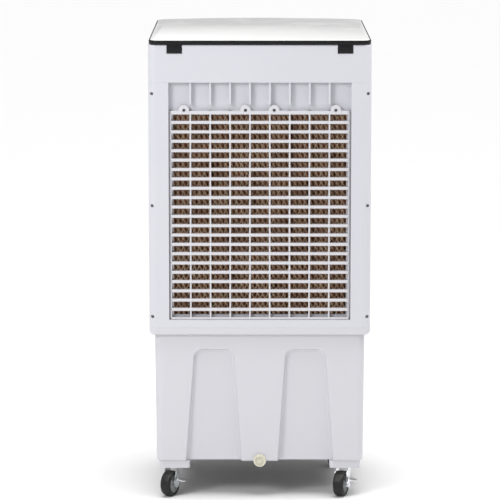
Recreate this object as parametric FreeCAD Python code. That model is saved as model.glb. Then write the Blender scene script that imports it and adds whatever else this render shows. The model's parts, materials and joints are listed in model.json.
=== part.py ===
import FreeCAD, Part
import math
import os

# Portable evaporative cooler, millimetres, +Z up, origin on the floor under the middle.
# The back, where air enters through the louvred grille, faces +Y. The front faces -Y.
V = FreeCAD.Vector

# ---- overall sizes -------------------------------------------------------------------
HEIGHT = 942.0            # floor to the top of the lid
WIDTH = 448.0             # housing, across the back
DEPTH = 366.0             # back face to the crest of the bowed front
FRONT_TAPER = 10.0        # each side draws in by this much from back to front
BOW = 26.0                # the front bulges this far beyond its corners
CORNER_R = 16.0           # upright corners of the housing
WALL = 3.0                # moulded walls
RUN = 0.06                # radial clearance of a turning pin in its hole
GAP = 0.3                 # clearance between neighbouring parts that don't bear

# ---- heights, from the floor -----------------------------------------------------------
WHEEL_R = 26.0
FOOT_BOTTOM = 2 * WHEEL_R + 8.5       # underside of the caster feet, clear of the wheels
TANK_BOTTOM = FOOT_BOTTOM + 14.6
PLATE_TOP = FOOT_BOTTOM + 7.0         # caster plates sit this deep inside the feet
BAND_BOTTOM = 340.0       # widened rim band at the top of the tank
TANK_TOP = 357.0          # housing stands on the tank here
DECK_BOTTOM = 857.0       # top deck starts here
LID_THICK = 9.0
LID_BOTTOM = HEIGHT - LID_THICK
LID_GAP = 0.5             # between the lid and the deck under it
DECK_TOP = LID_BOTTOM - LID_GAP

REAR = DEPTH / 2
FRONT = -DEPTH / 2
FRONT_CORNER = FRONT + BOW

# ---- tank ------------------------------------------------------------------------------
TANK_INSET_TOP = 10.6     # tank wall inside the housing face, at the band
TANK_INSET_BOTTOM = 13.0
TANK_EDGE_R = 5.5
TANK_CORNER_R = 15.0
CHANNEL_DEPTH = (8.0, 15.0)         # at the channel's top and at its bottom
CHANNEL_TOP = 309.4
CHANNEL_TOP_X = (53.0, 132.0)
CHANNEL_BOTTOM_X = (37.0, 150.0)
CHANNEL_R = 17.0
CHANNEL_FLOOR_R = 6.0     # soft corner between a channel's floor and its sides
CHANNEL_EDGE_R = 2.5      # rounded edge where a channel's sides meet the tank's back face
BAND_EDGE_R = 9.0
BAND_GROOVE = 6.0         # solid lower part of the band, under its hollow
FOOT_SIZE = (62.0, 60.0)
FOOT_R = 7.0
FOOT_WALL = 4.0

# ---- casters ---------------------------------------------------------------------------
WHEEL_W = 22.0
TREAD_R = 4.5             # rounded shoulders of the tread
HUB_SHARE = 0.62          # hub face within the wheel's radius
HUB_DISH = 3.5
HUB_BOSS_R = 6.5
TRAIL = 21.0
CASTER_INSET = (50.5, 59.0)         # kingpin of the back pair and of the front pair inside half the width
CASTER_X = tuple(WIDTH / 2 - inset for inset in CASTER_INSET)
CASTER_Y = (136.0, -112.0)          # back pair, front pair
CASTER_TURN = (27.0, 19.0, 24.0, 15.0)   # swivel of each wheel away from the +Y direction
CASTER_PLATE = 50.0
PLATE_R = 5.0
PLATE_T = 2.5
PLATE_SCREW_IN = 6.0      # plate screws from the plate's edges
PLATE_SCREW_L = 7.0
PLATE_HEAD = (3.0, 1.6)   # plate screw head: radius and height
DISH_R = (16.0, 19.0)     # race dish under the plate: lower and upper radius
DISH_H = 3.5
CROWN_R = 17.5
CROWN_H = 4.5
FORK_T = 1.8
FORK_GAP = 0.9            # between the wheel's side and each leg
WHEEL_ROOM = 1.2          # between the tread and the fork
KINGPIN_R = 4.0
KINGPIN_HEAD = (2.0, 2.0)   # how far the head stands out round the pin, and its height
AXLE_R = 3.0
AXLE_HEAD = (2.0, 1.5)      # the same for the axle's riveted ends
LEVER_T = 1.6
LEVER_RING_R = 7.5
LEVER_TAB = 15.0          # how far the brake tab stands out
LEVER_TAB_R = 6.5
LEVER_TILT = 12.0         # the tab slopes down by this angle

# ---- carrying cups in the sides ------------------------------------------------------------
HANDLE_Y = 30.0
HANDLE_Z = 742.0
HANDLE_W = 104.0
HANDLE_H = 48.0
HANDLE_DEEP = 26.0

# ---- rear cover and grille ---------------------------------------------------------------
COVER_WRAP = 22.0         # how far the cover wraps round onto the sides
FRONT_RETURN = 22.0       # how far the front shell wraps round onto the sides
OPENING_HALF = 182.8
OPENING_BOTTOM = 373.0
RECESS = 13.0             # depth of the opening's side walls, to the grille seat
LEDGE_T = 2.5
LEDGE_W = 9.0
POCKET_BOTTOM = 799.5
GRILLE_HALF = 179.4
GRILLE_BORDER = 2.0
GRILLE_TOP = 799.5
GRILLE_BAR = 7.3          # top bar
GRILLE_DROP = 3.0         # grille face behind the rear face
GRILLE_DEPTH = 10.0
SLOT_ROWS = 22
SLOT_COLUMNS = 9
SLOT_PITCH = 19.11
SLOT_H = 13.6
RIB_W = 3.4
TAB_R = 10.5
GRILLE_SCREW_X = (-152.0, -28.7, 28.7, 152.0)
GRILLE_SCREW_Z = 800.8
COVER_SCREW_X = WIDTH / 2 - 7.5
COVER_SCREW_MARGIN = 22.5   # outer screws from the cover's top and bottom edge
SCREW_R = 1.9
SCREW_FREE = 0.2          # screw shank in the piece it passes through
SCREW_HEAD_R = 3.0
SCREW_HEAD_H = 2.0
SCREW_CROSS = (1.8, 0.4)    # half length and half width of the drive cross
SCREW_GRIP = 6.0          # how far the cover screws reach into their bosses
GRILLE_SCREW_L = 5.4
TAB_T = 5.5
TAB_SEAT = 3.0            # height of the screw seats in the grille tabs
SCREW_SINK = 7.0          # depth of the cover screws' seats
BOSS_R = 5.0
BOSS_L = 22.0             # length of the screw bosses on the side panels
POCKET_RIB_W = 4.4
POCKET_RIB_SINK = 1.2     # rib faces behind the rear face
POCKET_LOW_LAP = 3.0      # lower ends of the ribs below the top of the grille
FRAME_T = 2.5             # walls round the opening

# ---- cooling pad ---------------------------------------------------------------------------
PAD_HALF = 187.0
PAD_T = 38.0
PAD_BOTTOM = 377.0
PAD_TOP = 803.0
PAD_WALL = 2.0
TROUGH_H = 36.0

# ---- front outlet -----------------------------------------------------------------------------
OUT_HALF = 155.0
OUT_BOTTOM = 585.0
OUT_TOP = 835.0
BEZEL_BORDER = 18.0
BEZEL_PROUD = 2.0
LOUVRES = 5
LOUVRE_CHORD = 34.0
LOUVRE_Y = FRONT + 33.0
VANES = 5
VANE_CHORD = 34.0
VANE_Y = FRONT + 75.0
BLADE_T = 2.4
PIVOT_R = 2.0
LINK_ARM = 12.0
LINK_PIN_R = 1.2
LINK_W = 6.0
LINK_T = 4.0
TIE_X = 31.0
LINK_Z = OUT_TOP - 11.0
DUCT_BACK = FRONT + 95.0

# ---- fan ------------------------------------------------------------------------------------
FAN_R = 120.0
FAN_Y = FRONT + 122.0
FAN_Z = (OUT_BOTTOM + OUT_TOP) / 2
FAN_DEPTH = 30.0
TIP_GAP = 5.0
HUB_R = 32.0
SHAFT_R = 5.0
SHROUD_Y = FRONT + 143.0
SHROUD_T = 3.0
SHROUD_DROP = 30.0        # shroud plate below the outlet
RING_LEAD = 6.0           # shroud ring ahead of the fan
FAN_BLADES = 5
FAN_BLADE_T = 2.6
FAN_BLADE_W = 58.0
FAN_PITCH = 26.0          # angle of the blades to the fan's plane
HUB_NOSE_R = 6.0
SHAFT_NOSE = 9.0          # shaft beyond the front of the hub
NUT_L = 12.0
NUT_R = 11.0
BRACKET_T = 4.0
BRACKET_W = 16.0
BRACKET_LAP = 14.0        # bracket arms onto the shroud plate
MOTOR_R = 45.0
MOTOR_L = 60.0
MOTOR_EDGE_R = 5.0
VENTS = 12
VENT_SIZE = (3.0, 5.0)    # depth and width of the motor's cooling slots
VENT_END = 14.0           # solid ends of the motor beside the slots

# ---- lid and hinge ------------------------------------------------------------------------------
LID_INSET = 3.0
GLASS_T = 4.0
GLASS_EDGE = 2.5          # rim's lip round the glass
RIM_W = 8.0
RIM_SINK = 0.3            # top of the rim below the top of the glass
LID_R = 12.0
LID_PROUD = 1.5           # lid edge beyond the back face
HINGE_X = 170.7
HINGE_W = 30.0
HINGE_DROP = 16.5
HINGE_PIN_R = 1.5
HINGE_PIN_HALF = 19.5
HINGE_LUG_T = 4.5         # lug ahead of the pin
HINGE_Y = REAR - 2.0
HINGE_Z = LID_BOTTOM - 3.0

# ---- control panel ---------------------------------------------------------------------------------
PANEL_HALF = 88.0
PANEL_Z = (866.0, 924.0)
KEY_R = 7.0
KEY_TRAVEL = 1.5
KEY_PROUD = 1.8           # key faces beyond the panel
KEY_FLANGE = 1.5          # flange that keeps each key in, round it and its thickness
KEY_STEM_R = 2.5
KEY_X = (-64.0, 46.0, 70.0)
SWITCH_H = 2.5
DISPLAY_X = -12.0
DISPLAY_HALF = 26.0
DISPLAY_H = 22.0
PANEL_PROUD = 1.5
PANEL_LAP = 6.0           # panel flange beyond the hole in the deck
BOARD_Y = FRONT + 18.0
BOARD_T = 1.6
BOARD_IN = 8.0            # board's edges inside the panel's edges

# ---- drain, level gauge, cord inlet -------------------------------------------------------------------
DRAIN_Z = TANK_BOTTOM + 3.0
DRAIN_R = 12.8
DRAIN_BORE = 6.5
DRAIN_SLEEVE = 2.0        # wall of the outlet fitting
DRAIN_REACH = 43.0        # inner end of the fitting, from the back face
GAUGE_W = 18.0
GAUGE_Z = (120.0, 244.0)
GLAND_Y = 40.0
GLAND_Z = TANK_TOP + 30.0
CORD_R = 3.75
GLAND_WALL = 4.0          # gland barrel round the cord
GLAND_FLANGE = 7.0        # gland flange and nut beyond the cord


# ---- small helpers -----------------------------------------------------------------------------------
def box(x0, x1, y0, y1, z0, z1):
    return Part.makeBox(x1 - x0, y1 - y0, z1 - z0, V(x0, y0, z0))


def rod_x(x0, x1, y, z, r):
    return Part.makeCylinder(r, x1 - x0, V(x0, y, z), V(1, 0, 0))


def rod_y(x, y0, y1, z, r):
    return Part.makeCylinder(r, y1 - y0, V(x, y0, z), V(0, 1, 0))


def rod_z(x, y, z0, z1, r):
    return Part.makeCylinder(r, z1 - z0, V(x, y, z0), V(0, 0, 1))


def rounded_box(x0, x1, y0, y1, z0, z1, r, axis="z"):
    """A box whose four edges along one axis are rounded."""
    body = box(x0, x1, y0, y1, z0, z1)
    pick = {"x": V(1, 0, 0), "y": V(0, 1, 0), "z": V(0, 0, 1)}[axis]
    edges = [e for e in body.Edges if abs(abs(e.tangentAt(e.FirstParameter).dot(pick)) - 1) < 1e-6]
    return body.makeFillet(r, edges)


def fuse(shapes):
    joined = shapes[0].fuse(shapes[1:]) if len(shapes) > 1 else shapes[0]
    return joined.removeSplitter()


def polygon_prism_y(points, y0, y1):
    """Points are (x, z); the prism runs from y0 to y1."""
    wire = Part.makePolygon([V(x, y0, z) for x, z in points + points[:1]])
    return Part.Face(wire).extrude(V(0, y1 - y0, 0))


def plan_face(inset, z, radius=CORNER_R, proud=0.0):
    """The housing's outline seen from above, drawn in by inset and rounded at its corners."""
    back, side_front = WIDTH / 2, WIDTH / 2 - FRONT_TAPER
    corners = [V(-back, REAR + proud, z), V(back, REAR + proud, z),
               V(side_front, FRONT_CORNER - proud, z), V(-side_front, FRONT_CORNER - proud, z)]
    crest = V(0, FRONT - proud, z)
    edges = [Part.LineSegment(corners[0], corners[1]).toShape(),
             Part.LineSegment(corners[1], corners[2]).toShape(),
             Part.Arc(corners[2], crest, corners[3]).toShape(),
             Part.LineSegment(corners[3], corners[0]).toShape()]
    sharp = Part.Face(Part.Wire(edges))
    drawn_in = sharp.makeOffset2D(-(inset + radius))
    return drawn_in.makeOffset2D(radius)


def plan_solid(inset, z0, z1, radius=CORNER_R, proud=0.0):
    return plan_face(inset, z0, radius, proud).extrude(V(0, 0, z1 - z0))


def plan_shell(inset, thick, z0, z1):
    outer = plan_solid(inset, z0, z1)
    return outer.cut(plan_solid(inset + thick, z0, z1, max(CORNER_R - thick, 1.0)))


def half_width(y):
    """Half the housing's width at depth y."""
    return WIDTH / 2 - FRONT_TAPER * (REAR - y) / (REAR - FRONT_CORNER)


# ---- water tank ------------------------------------------------------------------------------------
def tank_draft(inset_extra, z0, z1, radius):
    """A tub with drafted walls, cut off at heights z0 and z1."""
    def inset_at(z):
        share = (z - TANK_BOTTOM) / (BAND_BOTTOM - TANK_BOTTOM)
        return TANK_INSET_BOTTOM + (TANK_INSET_TOP - TANK_INSET_BOTTOM) * share + inset_extra
    wires = [plan_face(inset_at(z), z, radius).OuterWire for z in (z0, z1)]
    return Part.makeLoft(wires, True, True)


def channel(side, grow):
    """A tall recess in the back of the tank that widens and deepens downwards and runs out at the bottom."""
    inner_top, outer_top = CHANNEL_TOP_X
    inner_bottom, outer_bottom = CHANNEL_BOTTOM_X
    deep_top, deep_bottom = CHANNEL_DEPTH
    top, bottom = CHANNEL_TOP + grow, TANK_BOTTOM - grow
    points = [(side * (inner_bottom - grow), bottom), (side * (outer_bottom + grow), bottom),
              (side * (outer_top + grow), top), (side * (inner_top - grow), top)]
    floor_top = REAR - TANK_INSET_TOP - deep_top - grow
    floor_bottom = REAR - TANK_INSET_BOTTOM - deep_bottom - grow
    prism = polygon_prism_y(points, floor_bottom, REAR)
    corners = [e for e in prism.Edges
               if abs(e.BoundBox.ZMin - top) < 1e-3 and e.BoundBox.YLength > 5]
    prism = prism.makeFillet(CHANNEL_R + grow / 2, corners)
    ahead = Part.makePolygon([V(0, FRONT, bottom), V(0, floor_bottom, bottom), V(0, floor_top, top),
                              V(0, floor_top, top + 1), V(0, FRONT, top + 1), V(0, FRONT, bottom)])
    prism = prism.cut(Part.Face(ahead).extrude(V(side * WIDTH, 0, 0)))
    floor_edges = [e for e in prism.Edges
                   if e.BoundBox.YMax < floor_top + 1e-3 and e.BoundBox.ZMax > bottom + 1e-3]
    return prism.makeFillet(CHANNEL_FLOOR_R, floor_edges)


def channel_rims(tank):
    """Edges where the channels' sides meet the drafted back face, above the tank's rounded bottom edge."""
    def on_back_face(point):
        share = (point.z - TANK_BOTTOM) / (BAND_BOTTOM - TANK_BOTTOM)
        inset = TANK_INSET_BOTTOM + (TANK_INSET_TOP - TANK_INSET_BOTTOM) * share
        in_field = CHANNEL_BOTTOM_X[0] / 2 < abs(point.x) < CHANNEL_BOTTOM_X[1] + 6
        return in_field and point.z < CHANNEL_TOP + 1 and abs(point.y - REAR + inset) < 0.02
    rims = []
    for edge in tank.Edges:
        first, last = edge.FirstParameter, edge.LastParameter
        level_below = edge.BoundBox.ZLength < 1 and edge.BoundBox.ZMax < TANK_BOTTOM + 20
        if not level_below and all(on_back_face(edge.valueAt(p)) for p in (first, (first + last) / 2, last)):
            rims.append(edge)
    return rims


def foot(x, y):
    w, d = FOOT_SIZE
    body = rounded_box(x - w / 2, x + w / 2, y - d / 2, y + d / 2, FOOT_BOTTOM, TANK_BOTTOM + WALL, FOOT_R)
    socket = rounded_box(x - w / 2 + FOOT_WALL, x + w / 2 - FOOT_WALL, y - d / 2 + FOOT_WALL,
                         y + d / 2 - FOOT_WALL, FOOT_BOTTOM, PLATE_TOP, FOOT_R - FOOT_WALL / 2)
    stand_out, head_height = KINGPIN_HEAD
    head_room = rod_z(x, y, PLATE_TOP, PLATE_TOP + head_height + 1.0, KINGPIN_R + stand_out + 1.0)
    body = body.cut(socket).cut(head_room)
    for dx, dy in plate_screw_places():
        body = body.cut(rod_z(x + dx, y + dy, PLATE_TOP, PLATE_TOP + PLATE_SCREW_L + 1.0, SCREW_R))
    return body


def water_tank():
    outer = tank_draft(0.0, TANK_BOTTOM, TANK_TOP, TANK_CORNER_R)
    low = [e for e in outer.Edges if e.BoundBox.ZMax < TANK_BOTTOM + 0.1]
    outer = outer.makeFillet(TANK_EDGE_R, low)
    for side in (-1, 1):
        outer = outer.cut(channel(side, 0.0))
    band = plan_solid(0.0, BAND_BOTTOM, TANK_TOP)
    low = [e for e in band.Edges if e.BoundBox.ZMax < BAND_BOTTOM + 0.1]
    band = band.makeFillet(BAND_EDGE_R, low)
    groove = plan_solid(WALL, BAND_BOTTOM + WALL + BAND_GROOVE, TANK_TOP, CORNER_R - WALL)
    band = band.cut(groove.cut(tank_draft(0.0, TANK_BOTTOM, TANK_TOP, TANK_CORNER_R)))
    feet = [foot(side * x, y).cut(channel(side, 0.0)) for x, y in zip(CASTER_X, CASTER_Y) for side in (-1, 1)]
    boss = rod_y(0, REAR - DRAIN_REACH, REAR - TANK_INSET_BOTTOM, DRAIN_Z, DRAIN_R)
    solid = fuse([outer, band, boss] + feet)
    cavity = tank_draft(WALL, TANK_BOTTOM + WALL, TANK_TOP, TANK_CORNER_R - WALL)
    low = [e for e in cavity.Edges if e.BoundBox.ZMax < TANK_BOTTOM + WALL + 0.1]
    cavity = cavity.makeFillet(TANK_EDGE_R - WALL, low)
    for side in (-1, 1):
        cavity = cavity.cut(channel(side, WALL))
    cavity = cavity.cut(rod_y(0, REAR - DRAIN_REACH, REAR, DRAIN_Z, DRAIN_R))
    solid = solid.cut(cavity)
    solid = solid.cut(rod_y(0, REAR - DRAIN_REACH - 1, REAR, DRAIN_Z, DRAIN_BORE + DRAIN_SLEEVE))
    z0, z1 = GAUGE_Z
    solid = solid.cut(box(-GAUGE_W / 2 - GAP, GAUGE_W / 2 + GAP, FRONT, FRONT + 40, z0 - GAP, z1 + GAP))
    return solid.makeFillet(CHANNEL_EDGE_R, channel_rims(solid))


def drain_fitting():
    inner_end = REAR - DRAIN_REACH
    sleeve = rod_y(0, inner_end, REAR - TANK_INSET_BOTTOM, DRAIN_Z, DRAIN_BORE + DRAIN_SLEEVE)
    flange = rod_y(0, inner_end - 3.0, inner_end, DRAIN_Z, DRAIN_R - 1.5)
    above_floor = box(-WIDTH, WIDTH, FRONT, REAR, TANK_BOTTOM + WALL + GAP, TANK_TOP)
    body = fuse([sleeve, flange.common(above_floor)])
    return body.cut(rod_y(0, inner_end - 5.0, REAR, DRAIN_Z, DRAIN_BORE))


def drain_plug():
    face = REAR - TANK_INSET_BOTTOM + GAP
    cap = rod_y(0, face, face + 7.0, DRAIN_Z, DRAIN_R)
    rim = [e for e in cap.Edges if e.BoundBox.YMin > face + 6.9]
    cap = cap.makeFillet(2.0, rim)
    dish = rod_y(0, face + 5.0, face + 8.0, DRAIN_Z, DRAIN_R - 4.0)
    nub = rod_y(0, face + 4.0, face + 9.0, DRAIN_Z, 3.5)
    stem = rod_y(0, face - 16.0, face + 1.0, DRAIN_Z, DRAIN_BORE - RUN)
    return fuse([cap.cut(dish), nub, stem])


def level_window():
    z0, z1 = GAUGE_Z
    face = FRONT + TANK_INSET_TOP
    flange = rounded_box(-GAUGE_W / 2 - 4, GAUGE_W / 2 + 4, face - 2.0, face, z0 - 5, z1 + 5, 4.0, "y")
    body = box(-GAUGE_W / 2, GAUGE_W / 2, face, face + 12.0, z0, z1)
    well = box(-GAUGE_W / 2 + 3, GAUGE_W / 2 - 3, face, face + 9.5, z0 + 3, z1 - 3)
    port = box(-2.5, 2.5, face + 9.0, face + 13.0, z0 + 3, z0 + 9)
    return fuse([flange, body]).cut(well).cut(port)


def level_float():
    z0 = GAUGE_Z[0] + 3.0 + GAP
    face = FRONT + TANK_INSET_TOP
    w = GAUGE_W / 2 - 3 - 0.5
    return rounded_box(-w, w, face + 0.5, face + 9.0, z0, z0 + 14.0, 2.0, "x")


# ---- casters -----------------------------------------------------------------------------------------
def plate_screw_places():
    reach = CASTER_PLATE / 2 - PLATE_SCREW_IN
    return [(sx * reach, sy * reach) for sx in (-1, 1) for sy in (-1, 1)]


def caster_places():
    """Kingpin x, y and the direction in which each wheel trails, as an angle from +X."""
    spots = [(side * x, y) for x, y in zip(CASTER_X, CASTER_Y) for side in (1, -1)]
    return [(x, y, 90.0 - turn) for (x, y), turn in zip(spots, CASTER_TURN)]


def place(shape, spot):
    x, y, angle = spot
    turned = shape.copy()
    turned.rotate(V(0, 0, 0), V(0, 0, 1), angle)
    turned.translate(V(x, y, 0))
    return turned


def caster_plate():
    half = CASTER_PLATE / 2
    plate = rounded_box(-half, half, -half, half, PLATE_TOP - PLATE_T, PLATE_TOP, PLATE_R)
    low = PLATE_TOP - PLATE_T - DISH_H
    dish = Part.makeCone(DISH_R[0], DISH_R[1], DISH_H, V(0, 0, low), V(0, 0, 1))
    body = fuse([plate, dish]).cut(rod_z(0, 0, low - 1, PLATE_TOP + 1, KINGPIN_R + RUN))
    for dx, dy in plate_screw_places():
        body = body.cut(rod_z(dx, dy, low, PLATE_TOP + 1, SCREW_R + SCREW_FREE))
    return body


def caster_fork():
    """Fork in its own frame: kingpin on the Z axis, wheel trailing along +X, axle along Y."""
    inner = WHEEL_W / 2 + FORK_GAP
    outer = inner + FORK_T
    crown_top = PLATE_TOP - PLATE_T - DISH_H - GAP
    crown_low = crown_top - CROWN_H
    crown = rod_z(0, 0, crown_low, crown_top, CROWN_R)
    bridge = box(-6.0, 15.0, -outer, outer, crown_low, crown_low + FORK_T)
    legs = []
    outline = [(-10.0, crown_top - 2.5), (16.5, crown_low + 2.0), (TRAIL + 6.5, WHEEL_R + 4.0),
               (TRAIL + 5.0, WHEEL_R - 6.0), (TRAIL - 5.0, WHEEL_R - 6.5), (TRAIL - 10.0, WHEEL_R + 2.0)]
    for side in (-1, 1):
        y0, y1 = sorted((side * inner, side * outer))
        legs.append(polygon_prism_y(outline, y0, y1))
    stand_out, head_height = KINGPIN_HEAD
    seat = PLATE_TOP + SCREW_FREE
    pin = rod_z(0, 0, crown_low, seat, KINGPIN_R)
    head = rod_z(0, 0, seat, seat + head_height, KINGPIN_R + stand_out)
    body = fuse([crown, bridge, pin, head] + legs)
    body = body.cut(rod_y(TRAIL, -inner, inner, WHEEL_R, WHEEL_R + WHEEL_ROOM))
    body = body.cut(rod_y(TRAIL, -outer - 1, outer + 1, WHEEL_R, AXLE_R))
    stand_out, head_height = AXLE_HEAD
    axle = rod_y(TRAIL, -outer - head_height, outer + head_height, WHEEL_R, AXLE_R)
    heads = [rod_y(TRAIL, y, y + head_height, WHEEL_R, AXLE_R + stand_out)
             for y in (-outer - head_height, outer)]
    return Part.makeCompound([body, fuse([axle] + heads)])


def caster_wheel():
    """Wheel turned about its axle: rounded tread, dished hub faces."""
    half, hub = WHEEL_W / 2, WHEEL_R * HUB_SHARE
    bore, tread = AXLE_R + RUN, WHEEL_R
    points = [V(bore, -half, 0), V(HUB_BOSS_R, -half, 0), V(HUB_BOSS_R + 1.5, -half + HUB_DISH, 0),
              V(hub - 2, -half + HUB_DISH, 0), V(hub, -half, 0), V(tread - TREAD_R, -half, 0)]
    edges = [Part.LineSegment(a, b).toShape() for a, b in zip(points, points[1:])]
    bend = TREAD_R * math.sqrt(0.5)
    arc_low = Part.Arc(V(tread - TREAD_R, -half, 0),
                       V(tread - TREAD_R + bend, -half + TREAD_R - bend, 0),
                       V(tread, -half + TREAD_R, 0)).toShape()
    arc_high = Part.Arc(V(tread, half - TREAD_R, 0),
                        V(tread - TREAD_R + bend, half - TREAD_R + bend, 0),
                        V(tread - TREAD_R, half, 0)).toShape()
    flat = Part.LineSegment(V(tread, -half + TREAD_R, 0), V(tread, half - TREAD_R, 0)).toShape()
    mirrored = [V(p.x, -p.y, 0) for p in reversed(points)]
    back = [Part.LineSegment(a, b).toShape() for a, b in zip(mirrored, mirrored[1:])]
    close = Part.LineSegment(V(bore, half, 0), V(bore, -half, 0)).toShape()
    profile = Part.Face(Part.Wire(edges + [arc_low, flat, arc_high] + back + [close]))
    wheel = profile.revolve(V(0, 0, 0), V(0, 1, 0), 360)
    wheel.translate(V(TRAIL, 0, WHEEL_R))
    return wheel


def brake_lever():
    """Pressed lever that turns about the axle, outside the fork's +Y leg."""
    side = WHEEL_W / 2 + FORK_GAP + FORK_T + AXLE_HEAD[1] + GAP
    ring = rod_y(TRAIL, side, side + LEVER_T, WHEEL_R, LEVER_RING_R)
    arm = polygon_prism_y([(TRAIL - 7.0, WHEEL_R - 2.0), (TRAIL + 4.0, WHEEL_R + 6.0),
                           (TRAIL - 2.0, WHEEL_R + 13.0), (TRAIL - 17.0, WHEEL_R + 9.0)],
                          side, side + LEVER_T)
    x0, x1, z0 = TRAIL - 17.0, TRAIL - 1.5, WHEEL_R + 8.0      # the tab grows from the arm's upper edge
    tab = box(x0, x1, side, side + LEVER_TAB, z0, z0 + LEVER_T)
    tip = [e for e in tab.Edges if e.BoundBox.YMin > side + LEVER_TAB - 0.1 and e.BoundBox.ZLength > 1]
    tab = tab.makeFillet(LEVER_TAB_R, tip)
    tab.rotate(V(x0, side, z0), V(1, 0, 0), -LEVER_TILT)
    return fuse([ring, arm, tab.common(box(x0, x1, side, side + LEVER_TAB, 0, FOOT_BOTTOM))])


# ---- housing ------------------------------------------------------------------------------------------
def handle_cup(side, grow):
    """Finger cup in the side wall."""
    x_in, x_out = half_width(HANDLE_Y) - HANDLE_DEEP - grow, WIDTH / 2 + 5
    x0, x1 = sorted((side * x_in, side * x_out))
    y0, y1 = HANDLE_Y - HANDLE_W / 2 - grow, HANDLE_Y + HANDLE_W / 2 + grow
    z0, z1 = HANDLE_Z - grow, HANDLE_Z + HANDLE_H + grow
    return rounded_box(x0, x1, y0, y1, z0, z1, 10.0 + grow, "x")


def cover_screw_heights():
    low, high = TANK_TOP + COVER_SCREW_MARGIN, DECK_BOTTOM - COVER_SCREW_MARGIN
    return (low, (low + high) / 2, high)


def main_housing():
    """Front shell: the bowed front wall and its short returns, with the air outlet cut through."""
    shell = plan_shell(0.0, WALL, TANK_TOP, DECK_BOTTOM)
    seam = FRONT_CORNER + FRONT_RETURN
    front = shell.common(box(-WIDTH, WIDTH, FRONT - 1, seam, TANK_TOP - 1, DECK_BOTTOM + 1))
    hole = box(-OUT_HALF - WALL - GAP, OUT_HALF + WALL + GAP, FRONT - 5, FRONT + 60,
               OUT_BOTTOM - WALL - GAP, OUT_TOP + WALL + GAP)
    return front.cut(hole)


def side_panel(side):
    """One side wall between the front shell and the rear cover, with its finger cup and screw bosses."""
    shell = plan_shell(0.0, WALL, TANK_TOP, DECK_BOTTOM)
    x0, x1 = sorted((0.0, side * WIDTH))
    room = box(x0, x1, FRONT_CORNER + FRONT_RETURN + GAP, REAR - COVER_WRAP, TANK_TOP - 1, DECK_BOTTOM + 1)
    pieces = [shell.common(room), handle_cup(side, WALL).common(plan_solid(0.0, TANK_TOP, DECK_BOTTOM))]
    for z in cover_screw_heights():
        pieces.append(rod_y(side * COVER_SCREW_X, REAR - COVER_WRAP - BOSS_L, REAR - COVER_WRAP, z, BOSS_R)
                      .common(plan_solid(0.5, TANK_TOP, DECK_BOTTOM)))
    body = fuse(pieces).cut(handle_cup(side, 0.0))
    for z in cover_screw_heights():
        body = body.cut(rod_y(side * COVER_SCREW_X, REAR - 60, REAR, z, SCREW_R))
    return body.cut(rod_x(-WIDTH, 0, GLAND_Y, GLAND_Z, CORD_R + GLAND_WALL))


def side_panels():
    return Part.makeCompound([side_panel(side) for side in (-1, 1)])


def slot_column_pitch():
    return (2 * (GRILLE_HALF - GRILLE_BORDER) + RIB_W) / SLOT_COLUMNS


def pocket_ribs():
    """Upright ribs between the pockets above the grille, one over each rib of the grille."""
    z0, z1 = POCKET_BOTTOM - POCKET_LOW_LAP, DECK_BOTTOM
    y0, y1 = REAR - RECESS - LEDGE_T, REAR - POCKET_RIB_SINK
    ribs = []
    for i in range(1, SLOT_COLUMNS):
        x = (i - SLOT_COLUMNS / 2) * slot_column_pitch()
        x0, x1 = x - POCKET_RIB_W / 2, x + POCKET_RIB_W / 2
        ribs.append(box(x0, x1, y0, y1, GRILLE_TOP + TAB_R + 3, z1))
        ribs.append(box(x0, x1, y0, REAR - GRILLE_DROP - GRILLE_DEPTH, z0, z1))
    return ribs


def rear_cover():
    shell = plan_shell(0.0, WALL, TANK_TOP, DECK_BOTTOM)
    shell = shell.common(box(-WIDTH, WIDTH, REAR - COVER_WRAP, REAR + 50, TANK_TOP, DECK_BOTTOM))
    y0 = REAR - RECESS - LEDGE_T
    half = OPENING_HALF + FRAME_T
    frame = box(-half, half, y0, REAR, OPENING_BOTTOM - FRAME_T, DECK_BOTTOM)
    solid = fuse([shell, frame])
    solid = solid.cut(box(-OPENING_HALF, OPENING_HALF, REAR - RECESS, REAR + 5,
                          OPENING_BOTTOM, DECK_BOTTOM + 1))
    window = box(-OPENING_HALF + LEDGE_W, OPENING_HALF - LEDGE_W, y0 - 1, REAR,
                 OPENING_BOTTOM + LEDGE_W - 2, POCKET_BOTTOM - LEDGE_W + 2)
    seat = PAD_BOTTOM - PAD_WALL
    shelf = box(-PAD_HALF + 6, PAD_HALF - 6, PAD_FRONT, y0 + 1, seat - WALL, seat)
    solid = fuse([solid.cut(window), shelf] + pocket_ribs())
    for side in (-1, 1):
        for z in cover_screw_heights():
            boss = rod_y(side * COVER_SCREW_X, REAR - COVER_WRAP, REAR, z, BOSS_R)
            solid = solid.fuse(boss.common(plan_solid(0.0, TANK_TOP, DECK_BOTTOM)))
            x = side * COVER_SCREW_X
            solid = solid.cut(rod_y(x, REAR - COVER_WRAP - 1, REAR, z, SCREW_R + SCREW_FREE))
            solid = solid.cut(rod_y(x, REAR - SCREW_SINK, REAR + 1, z, SCREW_HEAD_R + GAP))
    for x in GRILLE_SCREW_X:
        solid = solid.cut(rod_y(x, y0 - 1, REAR, GRILLE_SCREW_Z, SCREW_R))
    return solid.removeSplitter()


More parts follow.
